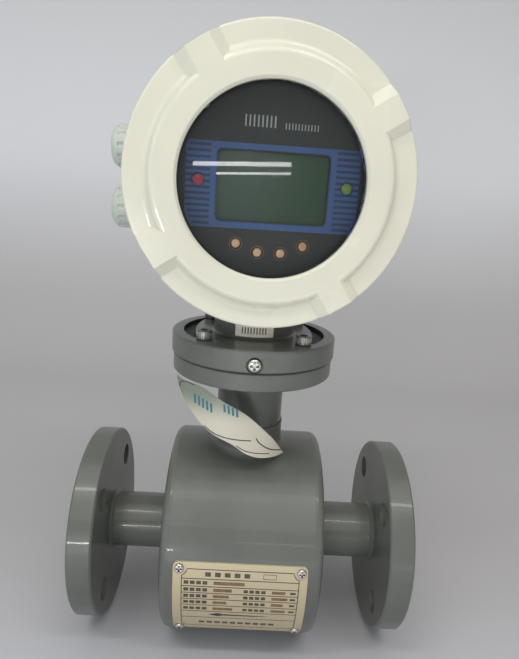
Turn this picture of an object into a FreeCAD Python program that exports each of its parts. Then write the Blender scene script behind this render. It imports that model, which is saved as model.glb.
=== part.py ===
import FreeCAD, Part
import math
import os
from FreeCAD import Placement, Rotation, Vector

# Electromagnetic flow meter, DN25, flanged, with an integral signal converter.
# Millimetres. Origin: centre of the flow bore, midway between the flange faces.
# +X runs along the pipe towards the outlet, -Y is the reading side, +Z is up.

# ---------------------------------------------------------------- driving dimensions
# Measuring tube and its flanges
face_to_face = 200.0
flange_diameter = 115.0
flange_thickness = 14.0
bolt_circle = 85.0
bolt_hole = 14.0
bolt_count = 4
raised_face_diameter = 68.0
raised_face_height = 2.0
liner_lip_diameter = 64.0
liner_lip_thickness = 2.0
pipe_diameter = 33.7
pipe_wall = 2.6
liner_wall = 2.0
weld_leg = 2.0

# Coil drum
drum_diameter = 123.0
drum_length = 90.0
drum_wall = 3.0
drum_corner = 5.0

# Magnet and electrodes inside the drum
pole_air_gap = 0.3
pole_shoe_thickness = 3.0
pole_shoe_length = 36.0
pole_shoe_half_angle = 52.0
pole_core_diameter = 14.0
former_wall = 1.0
former_seat = 0.4
former_lip = 0.8
magnet_clearance = 0.4
winding_diameter = 32.0
winding_height = 13.0
return_ring_wall = 3.0
return_ring_width = 30.0
yoke_screw = 5.0
electrode_stem = 3.5
electrode_head = 9.0
electrode_head_thickness = 1.2
electrode_boss = 15.0
electrode_boss_height = 6.0
sleeve_diameter = 8.0
sleeve_flange = 12.0
sleeve_flange_thickness = 1.5
electrode_nut_flats = 7.0
electrode_nut_height = 3.0

# Neck between the drum and the swivel
neck_diameter = 39.0
neck_wall = 3.0
neck_engagement = 5.8
collar_wall = 0.8
collar_rise = 13.5
neck_flange_diameter = 93.0
neck_flange_bottom = 107.2
neck_flange_thickness = 9.8
spigot_diameter = 66.0
spigot_height = 7.2
groove_height = 3.0
groove_land = 0.7
groove_depth = 2.5
swivel_gap = 0.5
swivel_clearance = 0.3
seal_diameter = 82.0
seal_width = 4.0
seal_depth = 1.2

# Swivel ring and the converter's foot
ring_diameter = 95.0
ring_height = 12.0
recess_diameter = 82.0
recess_depth = 3.3
passage_diameter = 38.0
gasket_thickness = 0.9
seat_clearance = 0.2
foot_half_width = 34.0
foot_side_radius = 83.0
foot_screw_spacing = 53.6
foot_screw = 5.0
foot_screw_grip = 7.5
stem_diameter = 47.0
stem_engagement = 9.0
stem_root_fillet = 1.5
swivel_screw = 4.0
swivel_screw_head = 7.4
swivel_screw_head_height = 2.4
swivel_screw_angles = (-89.0, 31.0, 151.0)
dog_point = 2.6
counterbore_diameter = 8.8
counterbore_depth = 1.4

# Plates and labels
nameplate_width = 73.0
nameplate_height = 54.0
nameplate_thickness = 0.8
nameplate_angle = -11.7
nameplate_corner = 2.5
nameplate_screw = 2.6
nameplate_screw_head = 5.2
nameplate_screw_inset = 3.4
label_width = 21.0
label_gap = 0.4
label_thickness = 0.2

# Converter head: its dial axis is level and turned a little from the pipe's square
head_height = 211.5
head_yaw = 4.0
housing_diameter = 122.0
housing_wall = 7.0
housing_front = 28.0
housing_rear = -27.5
collar_step = 3.0
collar_length = 12.0
partition_front = 6.0
partition_thickness = 3.0
socket_diameter = 57.0
socket_drop = 7.5

# Screw-on covers
cover_overhang = 7.4
cover_front = 57.0
rear_cover_front = 53.5
cover_thread_clearance = 0.3
cover_skirt_gap = 0.5
cover_edge = 1.2
pocket_depth = 4.2
pocket_band = 8.6
pocket_slope = 6.0
rib_angle = 33.0
rib_count = 4
rib_top = 12.0
rib_foot = 22.4
rib_flat_depth = 1.6
rib_notch = 23.0
window_diameter = 87.0
glass_diameter = 98.4
glass_thickness = 6.0
glass_gasket = 1.0
lip_thickness = 3.5
retainer_thickness = 3.0
retainer_width = 4.5
cover_seal_section = 2.2
cover_seal_gap = 0.3
cover_seal_play = 0.1
blind_wall = 4.0
blind_land = 8.0

# Display unit
panel_front = 38.0
panel_thickness = 2.0
panel_gap = 1.5
lcd_width = 53.5
lcd_height = 32.5
lcd_drop = 1.9
lcd_corner = 3.0
lcd_module_width = 60.0
lcd_module_height = 39.0
overlay_gap = 0.35
overlay_thickness = 0.3
display_shift = 1.6
led_diameter = 5.8
led_gap = 3.1
led_stand_out = 0.7
led_nose_round = 1.4
key_diameter = 4.6
key_hole = 5.8
key_flange = 7.2
key_flange_thickness = 1.5
key_ring_radius = 33.4
key_pitch_angle = 19.9
key_count = 4
key_travel = 0.6
key_stand_out = 0.8
key_clearance = 0.35
board_gap = 2.5
board_thickness = 1.6
display_board_front = 27.6
main_board_front = 13.6
pillar_diameter = 6.0
pillar_edge = 3.4
switch_size = 6.0
panel_screw = 3.0
panel_screw_hole = 3.4
panel_screw_head = 5.5
panel_screw_head_height = 2.0

# Power supply parts on the main board
transformer_core = (28.0, 24.0, 9.5)
transformer_coil = (18.0, 32.0, 7.0)
transformer_centre = (-20.0, 6.0)
capacitor_diameter = 9.0
capacitor_height = 10.5
capacitor_spacing = 14.0
capacitor_offset = 18.0

# Terminal block in the rear compartment
terminal_ways = 8
terminal_pitch = 8.0
terminal_depth = 13.0
terminal_height = 16.0
terminal_screw = 5.0

# Cable glands
gland_spacing = 32.0
gland_set_back = -10.0
gland_boss_diameter = 27.0
side_boss_stand_out = 3.0
gland_washer = 1.0
gland_hex = 21.0
gland_hex_length = 6.0
gland_thread = 16.0
gland_collar_diameter = 18.0
gland_collar_length = 7.0
gland_bore = 11.0
gland_nut_diameter = 23.0
gland_reach = 18.5
gland_nut_mouth = 10.0
gland_nut_gap = 0.4
gland_bush_bore = 6.5
gland_bush_stand_out = 1.2

# External earth screw
earth_angle = -38.0
earth_boss_diameter = 13.0
earth_screw = 5.0
earth_head = 9.5
earth_head_height = 3.4

# Hanging inspection tag, a curled film
tag_thickness = 0.4
tag_curl_radius = 38.3
tag_curl_centre = (-11.5, -0.5)
# The tag's edges: across, and height as a share of the room between drum and neck flange
tag_lower_edge = ((-41.5, 1.0), (-40.3, 0.895), (-36.4, 0.737), (-30.7, 0.586), (-24.5, 0.457), (-16.0, 0.341),
                  (-8.3, 0.26), (-3.1, 0.171), (3.5, 0.088), (9.4, 0.046), (15.5, 0.022), (21.1, 0.009))
tag_upper_edge = ((-41.5, 1.0), (-36.7, 0.972), (-29.9, 0.963), (-23.4, 0.915), (-17.0, 0.836), (-10.7, 0.759),
                  (-4.4, 0.683), (2.2, 0.565), (9.0, 0.407), (14.8, 0.247), (19.5, 0.072), (21.1, 0.009))

# ---------------------------------------------------------------- derived places
half_length = face_to_face / 2
flange_face = half_length - liner_lip_thickness - raised_face_height
pipe_radius = pipe_diameter / 2
pipe_bore = pipe_radius - pipe_wall
flow_radius = pipe_bore - liner_wall
drum_radius = drum_diameter / 2
collar_top = drum_radius + collar_rise
neck_flange_top = neck_flange_bottom + neck_flange_thickness
ring_bottom = neck_flange_top + swivel_gap
ring_top = ring_bottom + ring_height
recess_floor = ring_top - recess_depth
foot_bottom = recess_floor + gasket_thickness
spigot_top = neck_flange_top + spigot_height
groove_centre = neck_flange_top + spigot_height - groove_height / 2 - groove_land
former_bottom = pipe_radius + pole_air_gap + pole_shoe_thickness + former_seat
former_top = former_bottom + winding_height + 2 * former_wall
return_ring_inner = math.hypot(former_top, winding_diameter / 2 + former_lip) + magnet_clearance
housing_radius = housing_diameter / 2
housing_bore = housing_radius - housing_wall
collar_radius = housing_radius - collar_step
collar_end = housing_front + collar_length
rear_collar_end = housing_rear - collar_length
side_boss_face = housing_radius + side_boss_stand_out
gland_nut_end = side_boss_face + gland_reach
socket_bottom = head_height - housing_radius - socket_drop
stem_top = socket_bottom + stem_engagement
cover_radius = housing_radius + cover_overhang
cover_thread = collar_radius + cover_thread_clearance
pocket_outer = cover_radius - pocket_band
pocket_inner = pocket_outer - pocket_slope
board_radius = housing_bore - board_gap
pillar_circle = board_radius - pillar_edge
pillar_half = pillar_circle / math.sqrt(2)
overlay_radius = pillar_circle - panel_screw_head / 2 - overlay_gap
led_offset = lcd_module_width / 2 + led_gap + led_diameter / 2
panel_back = panel_front - panel_thickness
wall_skip = 1.0

X_AXIS, Y_AXIS, Z_AXIS = Vector(1, 0, 0), Vector(0, 1, 0), Vector(0, 0, 1)
ORIGIN = Vector(0, 0, 0)


# ---------------------------------------------------------------- shape helpers
def rod(radius, start, end, at=ORIGIN, axis=Z_AXIS):
    """Cylinder from start to end along axis, through the point at."""
    return Part.makeCylinder(radius, end - start, at + axis * start, axis)


def sleeve(outer, inner, start, end, at=ORIGIN, axis=Z_AXIS):
    """Hollow cylinder."""
    return rod(outer, start, end, at, axis).cut(rod(inner, start - wall_skip, end + wall_skip, at, axis))


def block(low, high):
    """Box between two corners."""
    size = Vector(*high) - Vector(*low)
    return Part.makeBox(size.x, size.y, size.z, Vector(*low))


def lathe(steps, angle=360.0):
    """Turn a closed outline about Z. Steps are (radius, height), or a pair of them for an arc."""
    def point(pair):
        return Vector(pair[0], 0, pair[1])

    edges = []
    start = last = point(steps[0])
    for step in steps[1:]:
        if isinstance(step[0], tuple):
            middle, end = point(step[0]), point(step[1])
            edges.append(Part.Arc(last, middle, end).toShape())
        else:
            end = point(step)
            edges.append(Part.LineSegment(last, end).toShape())
        last = end
    if last.sub(start).Length > 1e-6:
        edges.append(Part.LineSegment(last, start).toShape())
    return Part.Face(Part.Wire(edges)).revolve(ORIGIN, Z_AXIS, angle)


def rounded_plate(width, height, corner, bottom, top, centre=(0.0, 0.0)):
    """Plate with rounded corners in the XY plane."""
    plate = block((centre[0] - width / 2, centre[1] - height / 2, bottom),
                  (centre[0] + width / 2, centre[1] + height / 2, top))
    uprights = [edge for edge in plate.Edges if abs(edge.tangentAt(edge.FirstParameter).z) > 0.9]
    return plate.makeFillet(corner, uprights)


def hexagon(flats, start, end, at=ORIGIN, axis=Z_AXIS):
    """Hexagonal bar."""
    radius = flats / math.sqrt(3)
    corners = [Vector(radius * math.cos(math.radians(60 * i)), radius * math.sin(math.radians(60 * i)), 0)
               for i in range(7)]
    bar = Part.Face(Part.makePolygon(corners)).extrude(Vector(0, 0, end - start))
    bar.Placement = Placement(at + axis * start, Rotation(Z_AXIS, axis))
    return bar


def polar(shape, angle, axis=Z_AXIS, centre=ORIGIN):
    """Copy of a shape turned about an axis."""
    turned = shape.copy()
    turned.rotate(centre, axis, angle)
    return turned


def moved(shape, offset):
    """Copy of a shape shifted by a vector."""
    copy = shape.copy()
    copy.translate(offset)
    return copy


def fused(first, *others):
    """One solid from several that meet."""
    return first.fuse(list(others)).removeSplitter()


def mirrored_x(shape):
    """The shape's mirror image across the YZ plane."""
    return shape.mirror(ORIGIN, X_AXIS)


def on_head(shape):
    """Place a shape drawn in the dial frame: X right, Y up, Z towards the reader."""
    placed = shape.copy()
    placed.rotate(ORIGIN, X_AXIS, 90)
    placed.rotate(ORIGIN, Z_AXIS, head_yaw)
    placed.translate(Vector(0, 0, head_height))
    return placed


def on_dial(shape):
    """Place a piece of the display unit, which sits a little right of the window's centre."""
    return on_head(moved(shape, Vector(display_shift, 0, 0)))


def radial(shape, angle, height):
    """Place a shape drawn along +Z so that it points outwards from the Z axis at an angle."""
    placed = shape.copy()
    placed.rotate(ORIGIN, Y_AXIS, 90)
    placed.rotate(ORIGIN, Z_AXIS, angle)
    placed.translate(Vector(0, 0, height))
    return placed


def pan_screw(diameter, length, head, head_height, seat=0.0):
    """Pan-head screw along +Z with a cross recess; its head sits on the plane at seat."""
    crown = head / 2 * 0.55
    body = lathe([(0, seat), (head / 2, seat), (head / 2, seat + head_height * 0.35),
                  ((head / 2 * 0.86, seat + head_height * 0.82), (crown, seat + head_height)),
                  (0, seat + head_height)])
    shank = rod(diameter / 2, seat - length, seat)
    arm, width, depth = head * 0.31, head * 0.085, head_height * 0.55
    top = seat + head_height
    cross = fused(block((-arm, -width, top - depth), (arm, width, top + wall_skip)),
                  block((-width, -arm, top - depth), (width, arm, top + wall_skip)))
    return fused(body, shank).cut(cross)


def socket_screw(diameter, length, seat):
    """Hexagon socket cap screw along +Z."""
    head = diameter * 1.7
    height = diameter
    body = rod(head / 2, seat, seat + height)
    rim = [edge for edge in body.Edges if edge.BoundBox.ZMin > seat + height - 0.01]
    body = body.makeFillet(0.5, rim)
    socket = hexagon(diameter * 0.8, seat + height * 0.45, seat + height + wall_skip)
    return fused(body, rod(diameter / 2, seat - length, seat)).cut(socket)


# ---------------------------------------------------------------- measuring section
def flange(side):
    """Plate flange with its raised face and the weld that joins it to the pipe."""
    back = flange_face - flange_thickness
    rim = 1.0
    radius = flange_diameter / 2
    body = lathe([(pipe_radius, back - weld_leg), (pipe_radius + weld_leg, back), (radius - rim, back),
                  (radius, back + rim), (radius, flange_face - rim), (radius - rim, flange_face),
                  (raised_face_diameter / 2, flange_face),
                  (raised_face_diameter / 2, flange_face + raised_face_height),
                  (pipe_radius, flange_face + raised_face_height)])
    for number in range(bolt_count):
        angle = 360.0 / bolt_count * (number + 0.5)
        hole = rod(bolt_hole / 2, back - wall_skip, flange_face + wall_skip, Vector(bolt_circle / 2, 0, 0))
        body = body.cut(polar(hole, angle))
    body.rotate(ORIGIN, Y_AXIS, 90)
    return body if side > 0 else mirrored_x(body)


def electrode_bores(radius, start, end):
    """The two level holes square to the flow."""
    return [rod(radius, start, end, ORIGIN, Y_AXIS * side) for side in (-1, 1)]


def measuring_tube():
    """Non-magnetic pipe with a welded boss for each electrode."""
    length = flange_face + raised_face_height
    pipe = rod(pipe_radius, -length, length, ORIGIN, X_AXIS)
    boss_end = pipe_radius + electrode_boss_height
    bosses = electrode_bores(electrode_boss / 2, 0, boss_end)
    tube = fused(pipe, *bosses).cut(rod(pipe_bore, -length - wall_skip, length + wall_skip, ORIGIN, X_AXIS))
    for hole in electrode_bores(sleeve_diameter / 2, 0, boss_end + wall_skip):
        tube = tube.cut(hole)
    return tube


def liner():
    """Fluoropolymer lining of the pipe, open at the electrodes."""
    face = half_length - liner_lip_thickness
    body = sleeve(pipe_bore, flow_radius, -face, face, ORIGIN, X_AXIS)
    head_seat = flow_radius + electrode_head_thickness
    for hole in electrode_bores(electrode_head / 2, 0, head_seat) + electrode_bores(
            electrode_stem / 2, 0, pipe_bore + wall_skip):
        body = body.cut(hole)
    return body


def liner_lips():
    """The lining's flared lips over both raised faces."""
    face = half_length - liner_lip_thickness
    lip = sleeve(liner_lip_diameter / 2, flow_radius, face, half_length, ORIGIN, X_AXIS)
    return [mirrored_x(lip), lip]


def electrode_parts():
    """Electrodes flush with the bore, their insulating sleeves and their nuts."""
    boss_end = pipe_radius + electrode_boss_height
    sleeve_end = boss_end + sleeve_flange_thickness
    nut_end = sleeve_end + electrode_nut_height
    head_seat = flow_radius + electrode_head_thickness
    flush = rod(flow_radius + 0.05, -half_length, half_length, ORIGIN, X_AXIS)
    electrodes, sleeves, nuts = [], [], []
    for side in (-1, 1):
        out = Y_AXIS * side
        pin = fused(rod(electrode_head / 2, flow_radius - 2, head_seat, ORIGIN, out),
                    rod(electrode_stem / 2, head_seat - wall_skip, nut_end + 1.5, ORIGIN, out))
        electrodes.append(pin.cut(flush))
        bush = fused(rod(sleeve_diameter / 2, pipe_bore, boss_end, ORIGIN, out),
                     rod(sleeve_flange / 2, boss_end, sleeve_end, ORIGIN, out))
        bush = bush.cut(rod(electrode_stem / 2, 0, sleeve_end + wall_skip, ORIGIN, out))
        sleeves.append(bush.cut(rod(pipe_bore, -half_length, half_length, ORIGIN, X_AXIS)))
        nut = hexagon(electrode_nut_flats, sleeve_end, nut_end, ORIGIN, out)
        nuts.append(nut.cut(rod(electrode_stem / 2, 0, nut_end + wall_skip, ORIGIN, out)))
    return electrodes, sleeves, nuts


def magnet_parts():
    """Pole shoes with their cores, wound formers, the flux return ring and its screws."""
    shoe_inner = pipe_radius + pole_air_gap
    shoe_outer = shoe_inner + pole_shoe_thickness
    winding_bottom = former_bottom + former_wall
    winding_top = winding_bottom + winding_height
    former_rim = winding_diameter / 2 + former_lip
    core_radius = pole_core_diameter / 2
    ring_outer = return_ring_inner + return_ring_wall
    half = pole_shoe_length / 2

    saddle = sleeve(shoe_outer, shoe_inner, -half, half, ORIGIN, X_AXIS)
    edge = shoe_outer * math.cos(math.radians(pole_shoe_half_angle))
    saddle = saddle.common(block((-half, -shoe_outer, edge), (half, shoe_outer, shoe_outer + 1)))
    core = rod(core_radius, shoe_inner, return_ring_inner).common(
        rod(return_ring_inner, -half, half, ORIGIN, X_AXIS))
    core = core.cut(rod(shoe_inner + 1, -half, half, ORIGIN, X_AXIS))
    tapped = rod(yoke_screw / 2, return_ring_inner - 8, ring_outer + wall_skip)
    shoe = fused(saddle, core).cut(tapped)

    former = fused(sleeve(core_radius + former_wall, core_radius, former_bottom, former_top),
                   sleeve(former_rim, core_radius, former_bottom, winding_bottom),
                   sleeve(former_rim, core_radius, winding_top, former_top))
    winding = sleeve(winding_diameter / 2, core_radius + former_wall, winding_bottom, winding_top)

    ring = sleeve(ring_outer, return_ring_inner, -return_ring_width / 2, return_ring_width / 2, ORIGIN, X_AXIS)
    spot = rod(yoke_screw, ring_outer - 0.6, ring_outer + wall_skip)
    for tool in (tapped, polar(tapped, 180, X_AXIS), spot, polar(spot, 180, X_AXIS)):
        ring = ring.cut(tool)
    screw = socket_screw(yoke_screw, 8 + return_ring_wall - 0.6, ring_outer - 0.6)

    def pair(shape):
        return [shape, polar(shape, 180, X_AXIS)]

    return pair(shoe), pair(former), pair(winding), [ring], pair(screw)


def nameplate_places():
    """Centre angle and offset along X of each nameplate screw."""
    radius = drum_radius + nameplate_thickness
    swing = math.degrees((nameplate_height / 2 - nameplate_screw_inset) / radius)
    offset = nameplate_width / 2 - nameplate_screw_inset
    return [(nameplate_angle + side * swing, along * offset) for side in (1, -1) for along in (-1, 1)]


def on_drum(shape, angle, along):
    """Place a shape drawn along +Z so that it points out of the drum's reading side."""
    placed = shape.copy()
    placed.rotate(ORIGIN, X_AXIS, 90 - angle)
    placed.translate(Vector(along, 0, 0))
    return placed


def drum_shell():
    """Rolled shell of the coil drum, opened for the neck and tapped for the nameplate."""
    half = drum_length / 2 - drum_corner
    shell = sleeve(drum_radius, drum_radius - drum_wall, -half, half, ORIGIN, X_AXIS)
    shell = shell.cut(rod(neck_diameter / 2, 0, drum_radius + wall_skip))
    for angle, along in nameplate_places():
        tapped = rod(nameplate_screw / 2, drum_radius - drum_wall - wall_skip, drum_radius + wall_skip)
        shell = shell.cut(on_drum(tapped, angle, along))
    return shell


def drum_end(side):
    """Pressed end of the drum, with its rounded rim and a hole for the pipe."""
    inner = drum_length / 2 - drum_corner
    outer = drum_length / 2
    radius, corner = drum_radius, drum_corner
    bend = corner - drum_wall
    lean = math.sqrt(0.5)
    end = lathe([(pipe_radius, outer - drum_wall), (radius - corner, outer - drum_wall),
                 ((radius - corner + bend * lean, inner + bend * lean), (radius - drum_wall, inner)),
                 (radius, inner), ((radius - corner + corner * lean, inner + corner * lean),
                                   (radius - corner, outer)), (pipe_radius, outer)])
    end.rotate(ORIGIN, Y_AXIS, 90)
    return end if side > 0 else mirrored_x(end)


def nameplate():
    """Thin plate bent to the drum, with a hole at each corner."""
    radius = drum_radius + nameplate_thickness
    shell = sleeve(radius, drum_radius, -nameplate_width / 2, nameplate_width / 2, ORIGIN, X_AXIS)
    swing = nameplate_height / 2 / radius
    outline = rounded_plate(nameplate_width, 2 * radius * math.sin(swing), nameplate_corner, 0, radius + 1)
    plate = shell.common(on_drum(outline, nameplate_angle, 0))
    for angle, along in nameplate_places():
        plate = plate.cut(on_drum(rod(nameplate_screw / 2, 0, radius + 1), angle, along))
    return plate


def nameplate_screws():
    """Four small screws that hold the nameplate."""
    seat = drum_radius + nameplate_thickness
    grip = drum_wall + nameplate_thickness + 0.5
    screw = pan_screw(nameplate_screw, grip, nameplate_screw_head, 1.5, seat)
    return [on_drum(screw, angle, along) for angle, along in nameplate_places()]


# ---------------------------------------------------------------- neck and swivel
def neck_tube():
    """Tube that carries the coil and electrode wires up to the converter."""
    radius = neck_diameter / 2
    return sleeve(radius, radius - neck_wall, drum_radius - drum_wall - 2, neck_flange_bottom + neck_engagement)


def neck_collar():
    """Reinforcing collar saddled on the drum."""
    radius = neck_diameter / 2
    band = sleeve(radius + collar_wall, radius, drum_radius - 6, collar_top)
    return band.cut(rod(drum_radius, -drum_length, drum_length, ORIGIN, X_AXIS))


def neck_flange():
    """Fixed flange of the swivel, with the grooved spigot that the ring turns on."""
    radius = neck_flange_diameter / 2
    spigot = spigot_diameter / 2
    neck_bore = neck_diameter / 2 - neck_wall
    rim = 0.6
    body = lathe([(neck_bore, neck_flange_bottom), (radius - rim, neck_flange_bottom),
                  (radius, neck_flange_bottom + rim), (radius, neck_flange_top - rim),
                  (radius - rim, neck_flange_top), (spigot, neck_flange_top),
                  (spigot, groove_centre - groove_height / 2),
                  (spigot - groove_depth, groove_centre - groove_height / 2),
                  (spigot - groove_depth, groove_centre + groove_height / 2),
                  (spigot, groove_centre + groove_height / 2), (spigot, spigot_top), (neck_bore, spigot_top)])
    body = body.cut(rod(neck_diameter / 2, neck_flange_bottom - wall_skip, neck_flange_bottom + neck_engagement))
    return body.cut(sleeve(seal_diameter / 2, seal_diameter / 2 - seal_width,
                           neck_flange_top - seal_depth, neck_flange_top + wall_skip))


def swivel_seal():
    """Rubber ring in the joint of the swivel."""
    stand_out = swivel_gap - swivel_clearance
    return sleeve(seal_diameter / 2, seal_diameter / 2 - seal_width,
                  neck_flange_top - seal_depth, neck_flange_top + stand_out)


def foot_screw_places():
    """Places of the four screws that hold the foot."""
    half = foot_screw_spacing / 2
    return [Vector(x, y, 0) for x in (-half, half) for y in (-half, half)]


def swivel_ring():
    """Turning ring: it covers the spigot, takes the radial screws and seats the foot."""
    radius, rim = ring_diameter / 2, 0.8
    cavity = spigot_diameter / 2 + swivel_clearance
    cavity_top = spigot_top + swivel_clearance
    recess = recess_diameter / 2
    body = lathe([(cavity, ring_bottom), (radius - rim, ring_bottom), (radius, ring_bottom + rim),
                  (radius, ring_top - rim), (radius - rim, ring_top), (recess, ring_top),
                  (recess, recess_floor), (passage_diameter / 2, recess_floor),
                  (passage_diameter / 2, cavity_top), (cavity, cavity_top)])
    for place in foot_screw_places():
        body = body.cut(rod(foot_screw / 2, foot_bottom - foot_screw_grip, ring_top, place))
    for angle in swivel_screw_angles:
        hole = rod(swivel_screw / 2, cavity - wall_skip, radius + wall_skip)
        sink = rod(counterbore_diameter / 2, radius - counterbore_depth, radius + wall_skip)
        body = body.cut(radial(fused(hole, sink), angle, groove_centre))
    return body


def swivel_screws():
    """Radial screws whose dog points run in the spigot's groove."""
    seat = ring_diameter / 2 - counterbore_depth
    cavity = spigot_diameter / 2 + swivel_clearance
    tip = spigot_diameter / 2 - groove_depth + 0.6
    screw = fused(pan_screw(swivel_screw, seat - cavity, swivel_screw_head, swivel_screw_head_height, seat),
                  rod(dog_point / 2, tip, cavity + 1))
    return [radial(screw, angle, groove_centre) for angle in swivel_screw_angles]


def foot_gasket():
    """Black rubber sheet in the ring's recess, seen on both sides of the foot."""
    sheet = sleeve(recess_diameter / 2 - seat_clearance, passage_diameter / 2, recess_floor, foot_bottom)
    for place in foot_screw_places():
        sheet = sheet.cut(rod(foot_screw / 2, recess_floor - wall_skip, foot_bottom + wall_skip, place))
    return sheet


def stem():
    """Foot with two bowed sides, and the tube that carries the converter's housing."""
    foot = rod(recess_diameter / 2 - seat_clearance, foot_bottom, ring_top)
    shift = foot_side_radius - foot_half_width
    for side in (-1, 1):
        foot = foot.common(rod(foot_side_radius, foot_bottom, ring_top, Vector(side * shift, 0, 0)))
    tube_radius, root = stem_diameter / 2, stem_root_fillet
    lean = root * (1 - math.sqrt(0.5))
    tube = lathe([(0, ring_top), (tube_radius + root, ring_top),
                  ((tube_radius + lean, ring_top + lean), (tube_radius, ring_top + root)),
                  (tube_radius, stem_top), (0, stem_top)])
    body = fused(foot, tube).cut(rod(passage_diameter / 2, foot_bottom - wall_skip, stem_top + wall_skip))
    for place in foot_screw_places():
        body = body.cut(rod(foot_screw / 2 + 0.25, foot_bottom - wall_skip, ring_top + wall_skip, place))
    return body


def foot_screws():
    """Four socket cap screws through the foot into the ring."""
    length = ring_top - foot_bottom + foot_screw_grip
    screw = socket_screw(foot_screw, length, ring_top)
    return [moved(screw, place) for place in foot_screw_places()]


def coil_label():
    """Paper label round the front of the stem."""
    radius = stem_diameter / 2
    bottom, top = ring_top + stem_root_fillet, socket_bottom - label_gap
    band = sleeve(radius + label_thickness, radius, bottom, top)
    return band.common(block((-label_width / 2, -radius - 1, bottom), (label_width / 2, 0, top)))


def quality_tag():
    """Curled leaf-shaped film that hangs from the neck flange's rim to the drum."""
    centre = Vector(tag_curl_centre[0], tag_curl_centre[1], 0)
    film = sleeve(tag_curl_radius, tag_curl_radius - tag_thickness, 0, head_height, centre)
    room = neck_flange_bottom - drum_radius

    def edge(points):
        curve = Part.BSplineCurve()
        curve.interpolate([Vector(across, 0, drum_radius + share * room) for across, share in points])
        return curve.toShape()

    outline = Part.Wire([edge(tag_upper_edge), edge(tag_lower_edge[::-1])])
    leaf = Part.Face(outline).extrude(Vector(0, -tag_curl_radius * 2, 0))
    return film.common(leaf)


# ---------------------------------------------------------------- converter head
def gland_places():
    """Centres of the two cable entries in the dial frame."""
    return [Vector(0, side * gland_spacing / 2, gland_set_back) for side in (1, -1)]


def earth_out():
    """Direction of the external earth screw in the dial frame."""
    return Vector(math.cos(math.radians(earth_angle)), math.sin(math.radians(earth_angle)), 0)


def housing():
    """Cast housing: two threaded collars, a partition, the stem socket and the side bosses."""
    outer, bore, collar, step = housing_radius, housing_bore, collar_radius, 1.2
    shell = lathe([(0, rear_collar_end), (collar, rear_collar_end), (collar, housing_rear),
                   (outer - step, housing_rear), (outer, housing_rear + step), (outer, housing_front - step),
                   (outer - step, housing_front), (collar, housing_front), (collar, collar_end), (0, collar_end)])
    down = Vector(0, -1, 0)
    socket = rod(socket_diameter / 2, 0, head_height - socket_bottom, ORIGIN, down)
    socket = socket.common(block((-outer, -outer - socket_drop, housing_rear), (outer, 0, housing_front)))
    bosses = [rod(gland_boss_diameter / 2, bore - 8, side_boss_face, place, X_AXIS * -1)
              for place in gland_places()]
    bosses.append(rod(earth_boss_diameter / 2, bore - 4, side_boss_face, Vector(0, 0, gland_set_back), earth_out()))
    body = fused(shell, socket, *bosses)
    partition_back = partition_front - partition_thickness
    body = body.cut(rod(bore, rear_collar_end - wall_skip, partition_back))
    body = body.cut(rod(bore, partition_front, collar_end + wall_skip))
    body = body.cut(rod(stem_diameter / 2, head_height - stem_top, head_height, ORIGIN, down))
    body = body.cut(rod(passage_diameter / 2, bore - 10, head_height, ORIGIN, down))
    for place in gland_places():
        body = body.cut(rod(gland_thread / 2, bore - 10, side_boss_face + wall_skip, place, X_AXIS * -1))
    seat = rod(earth_screw / 2, side_boss_face - 9, side_boss_face + wall_skip,
               Vector(0, 0, gland_set_back), earth_out())
    return body.cut(seat)


def rib_tools(front):
    """Tapered ribs between the pockets of a cover, and the shallow grip flats on its rim."""
    floor = front - pocket_depth
    ribs, flats = [], []
    outline = [Vector(0, -rib_foot / 2, floor), Vector(0, rib_foot / 2, floor), Vector(0, rib_top / 2, front),
               Vector(0, rib_top / 2, front + 2), Vector(0, -rib_top / 2, front + 2),
               Vector(0, -rib_top / 2, front), Vector(0, -rib_foot / 2, floor)]
    rib = Part.Face(Part.makePolygon(outline)).extrude(Vector(2 * cover_radius, 0, 0))
    flat = block((cover_radius - rib_flat_depth, -rib_notch / 2, -cover_radius),
                 (2 * cover_radius, rib_notch / 2, cover_radius))
    for number in range(rib_count):
        angle = rib_angle + 360.0 / rib_count * number
        ribs.append(polar(rib, angle))
        flats.append(polar(flat, angle))
    return ribs, flats


def cover_blank(front, skirt_end, seat_end, window):
    """Turned form of a cover, before its pockets are cut. The seal lies on the floor past seat_end."""
    radius = cover_radius
    floor = seat_end + cover_seal_gap + cover_seal_section + cover_seal_play
    edge = cover_edge
    outline = [(cover_thread, skirt_end), (radius - 1.5, skirt_end), (radius, skirt_end + 1.5), (radius, front)]
    if window:
        seat = glass_diameter / 2
        lip = front - lip_thickness
        mouth = window_diameter / 2
        outline += [(mouth + edge, front), (mouth, front - edge), (mouth, lip), (seat, lip), (seat, floor)]
    else:
        well = cover_thread - blind_land
        outline += [(0, front), (0, front - blind_wall), (well, front - blind_wall), (well, floor)]
    return lathe(outline + [(cover_thread, floor)])


def cover_pockets(front):
    """The turned recess round a cover: an S-shaped slope, a flat band and a rounded rim."""
    floor = front - pocket_depth
    lean = math.atan2(pocket_depth, pocket_slope)
    bend = math.hypot(pocket_slope, pocket_depth) / 4 / math.sin(lean)
    across, down = bend * math.sin(lean), bend * (1 - math.cos(lean))
    middle = (pocket_inner + pocket_slope / 2, front - pocket_depth / 2)
    soft = cover_edge * (1 - math.sqrt(0.5))
    outline = [(pocket_inner, front + 2), (pocket_inner, front),
               ((pocket_inner + across, front - down), middle),
               ((pocket_outer - across, floor + down), (pocket_outer, floor)),
               (cover_radius - cover_edge, floor),
               ((cover_radius - soft, floor - soft), (cover_radius, floor - cover_edge)),
               (cover_radius + 2, floor - cover_edge), (cover_radius + 2, front + 2)]
    return lathe(outline)


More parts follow.
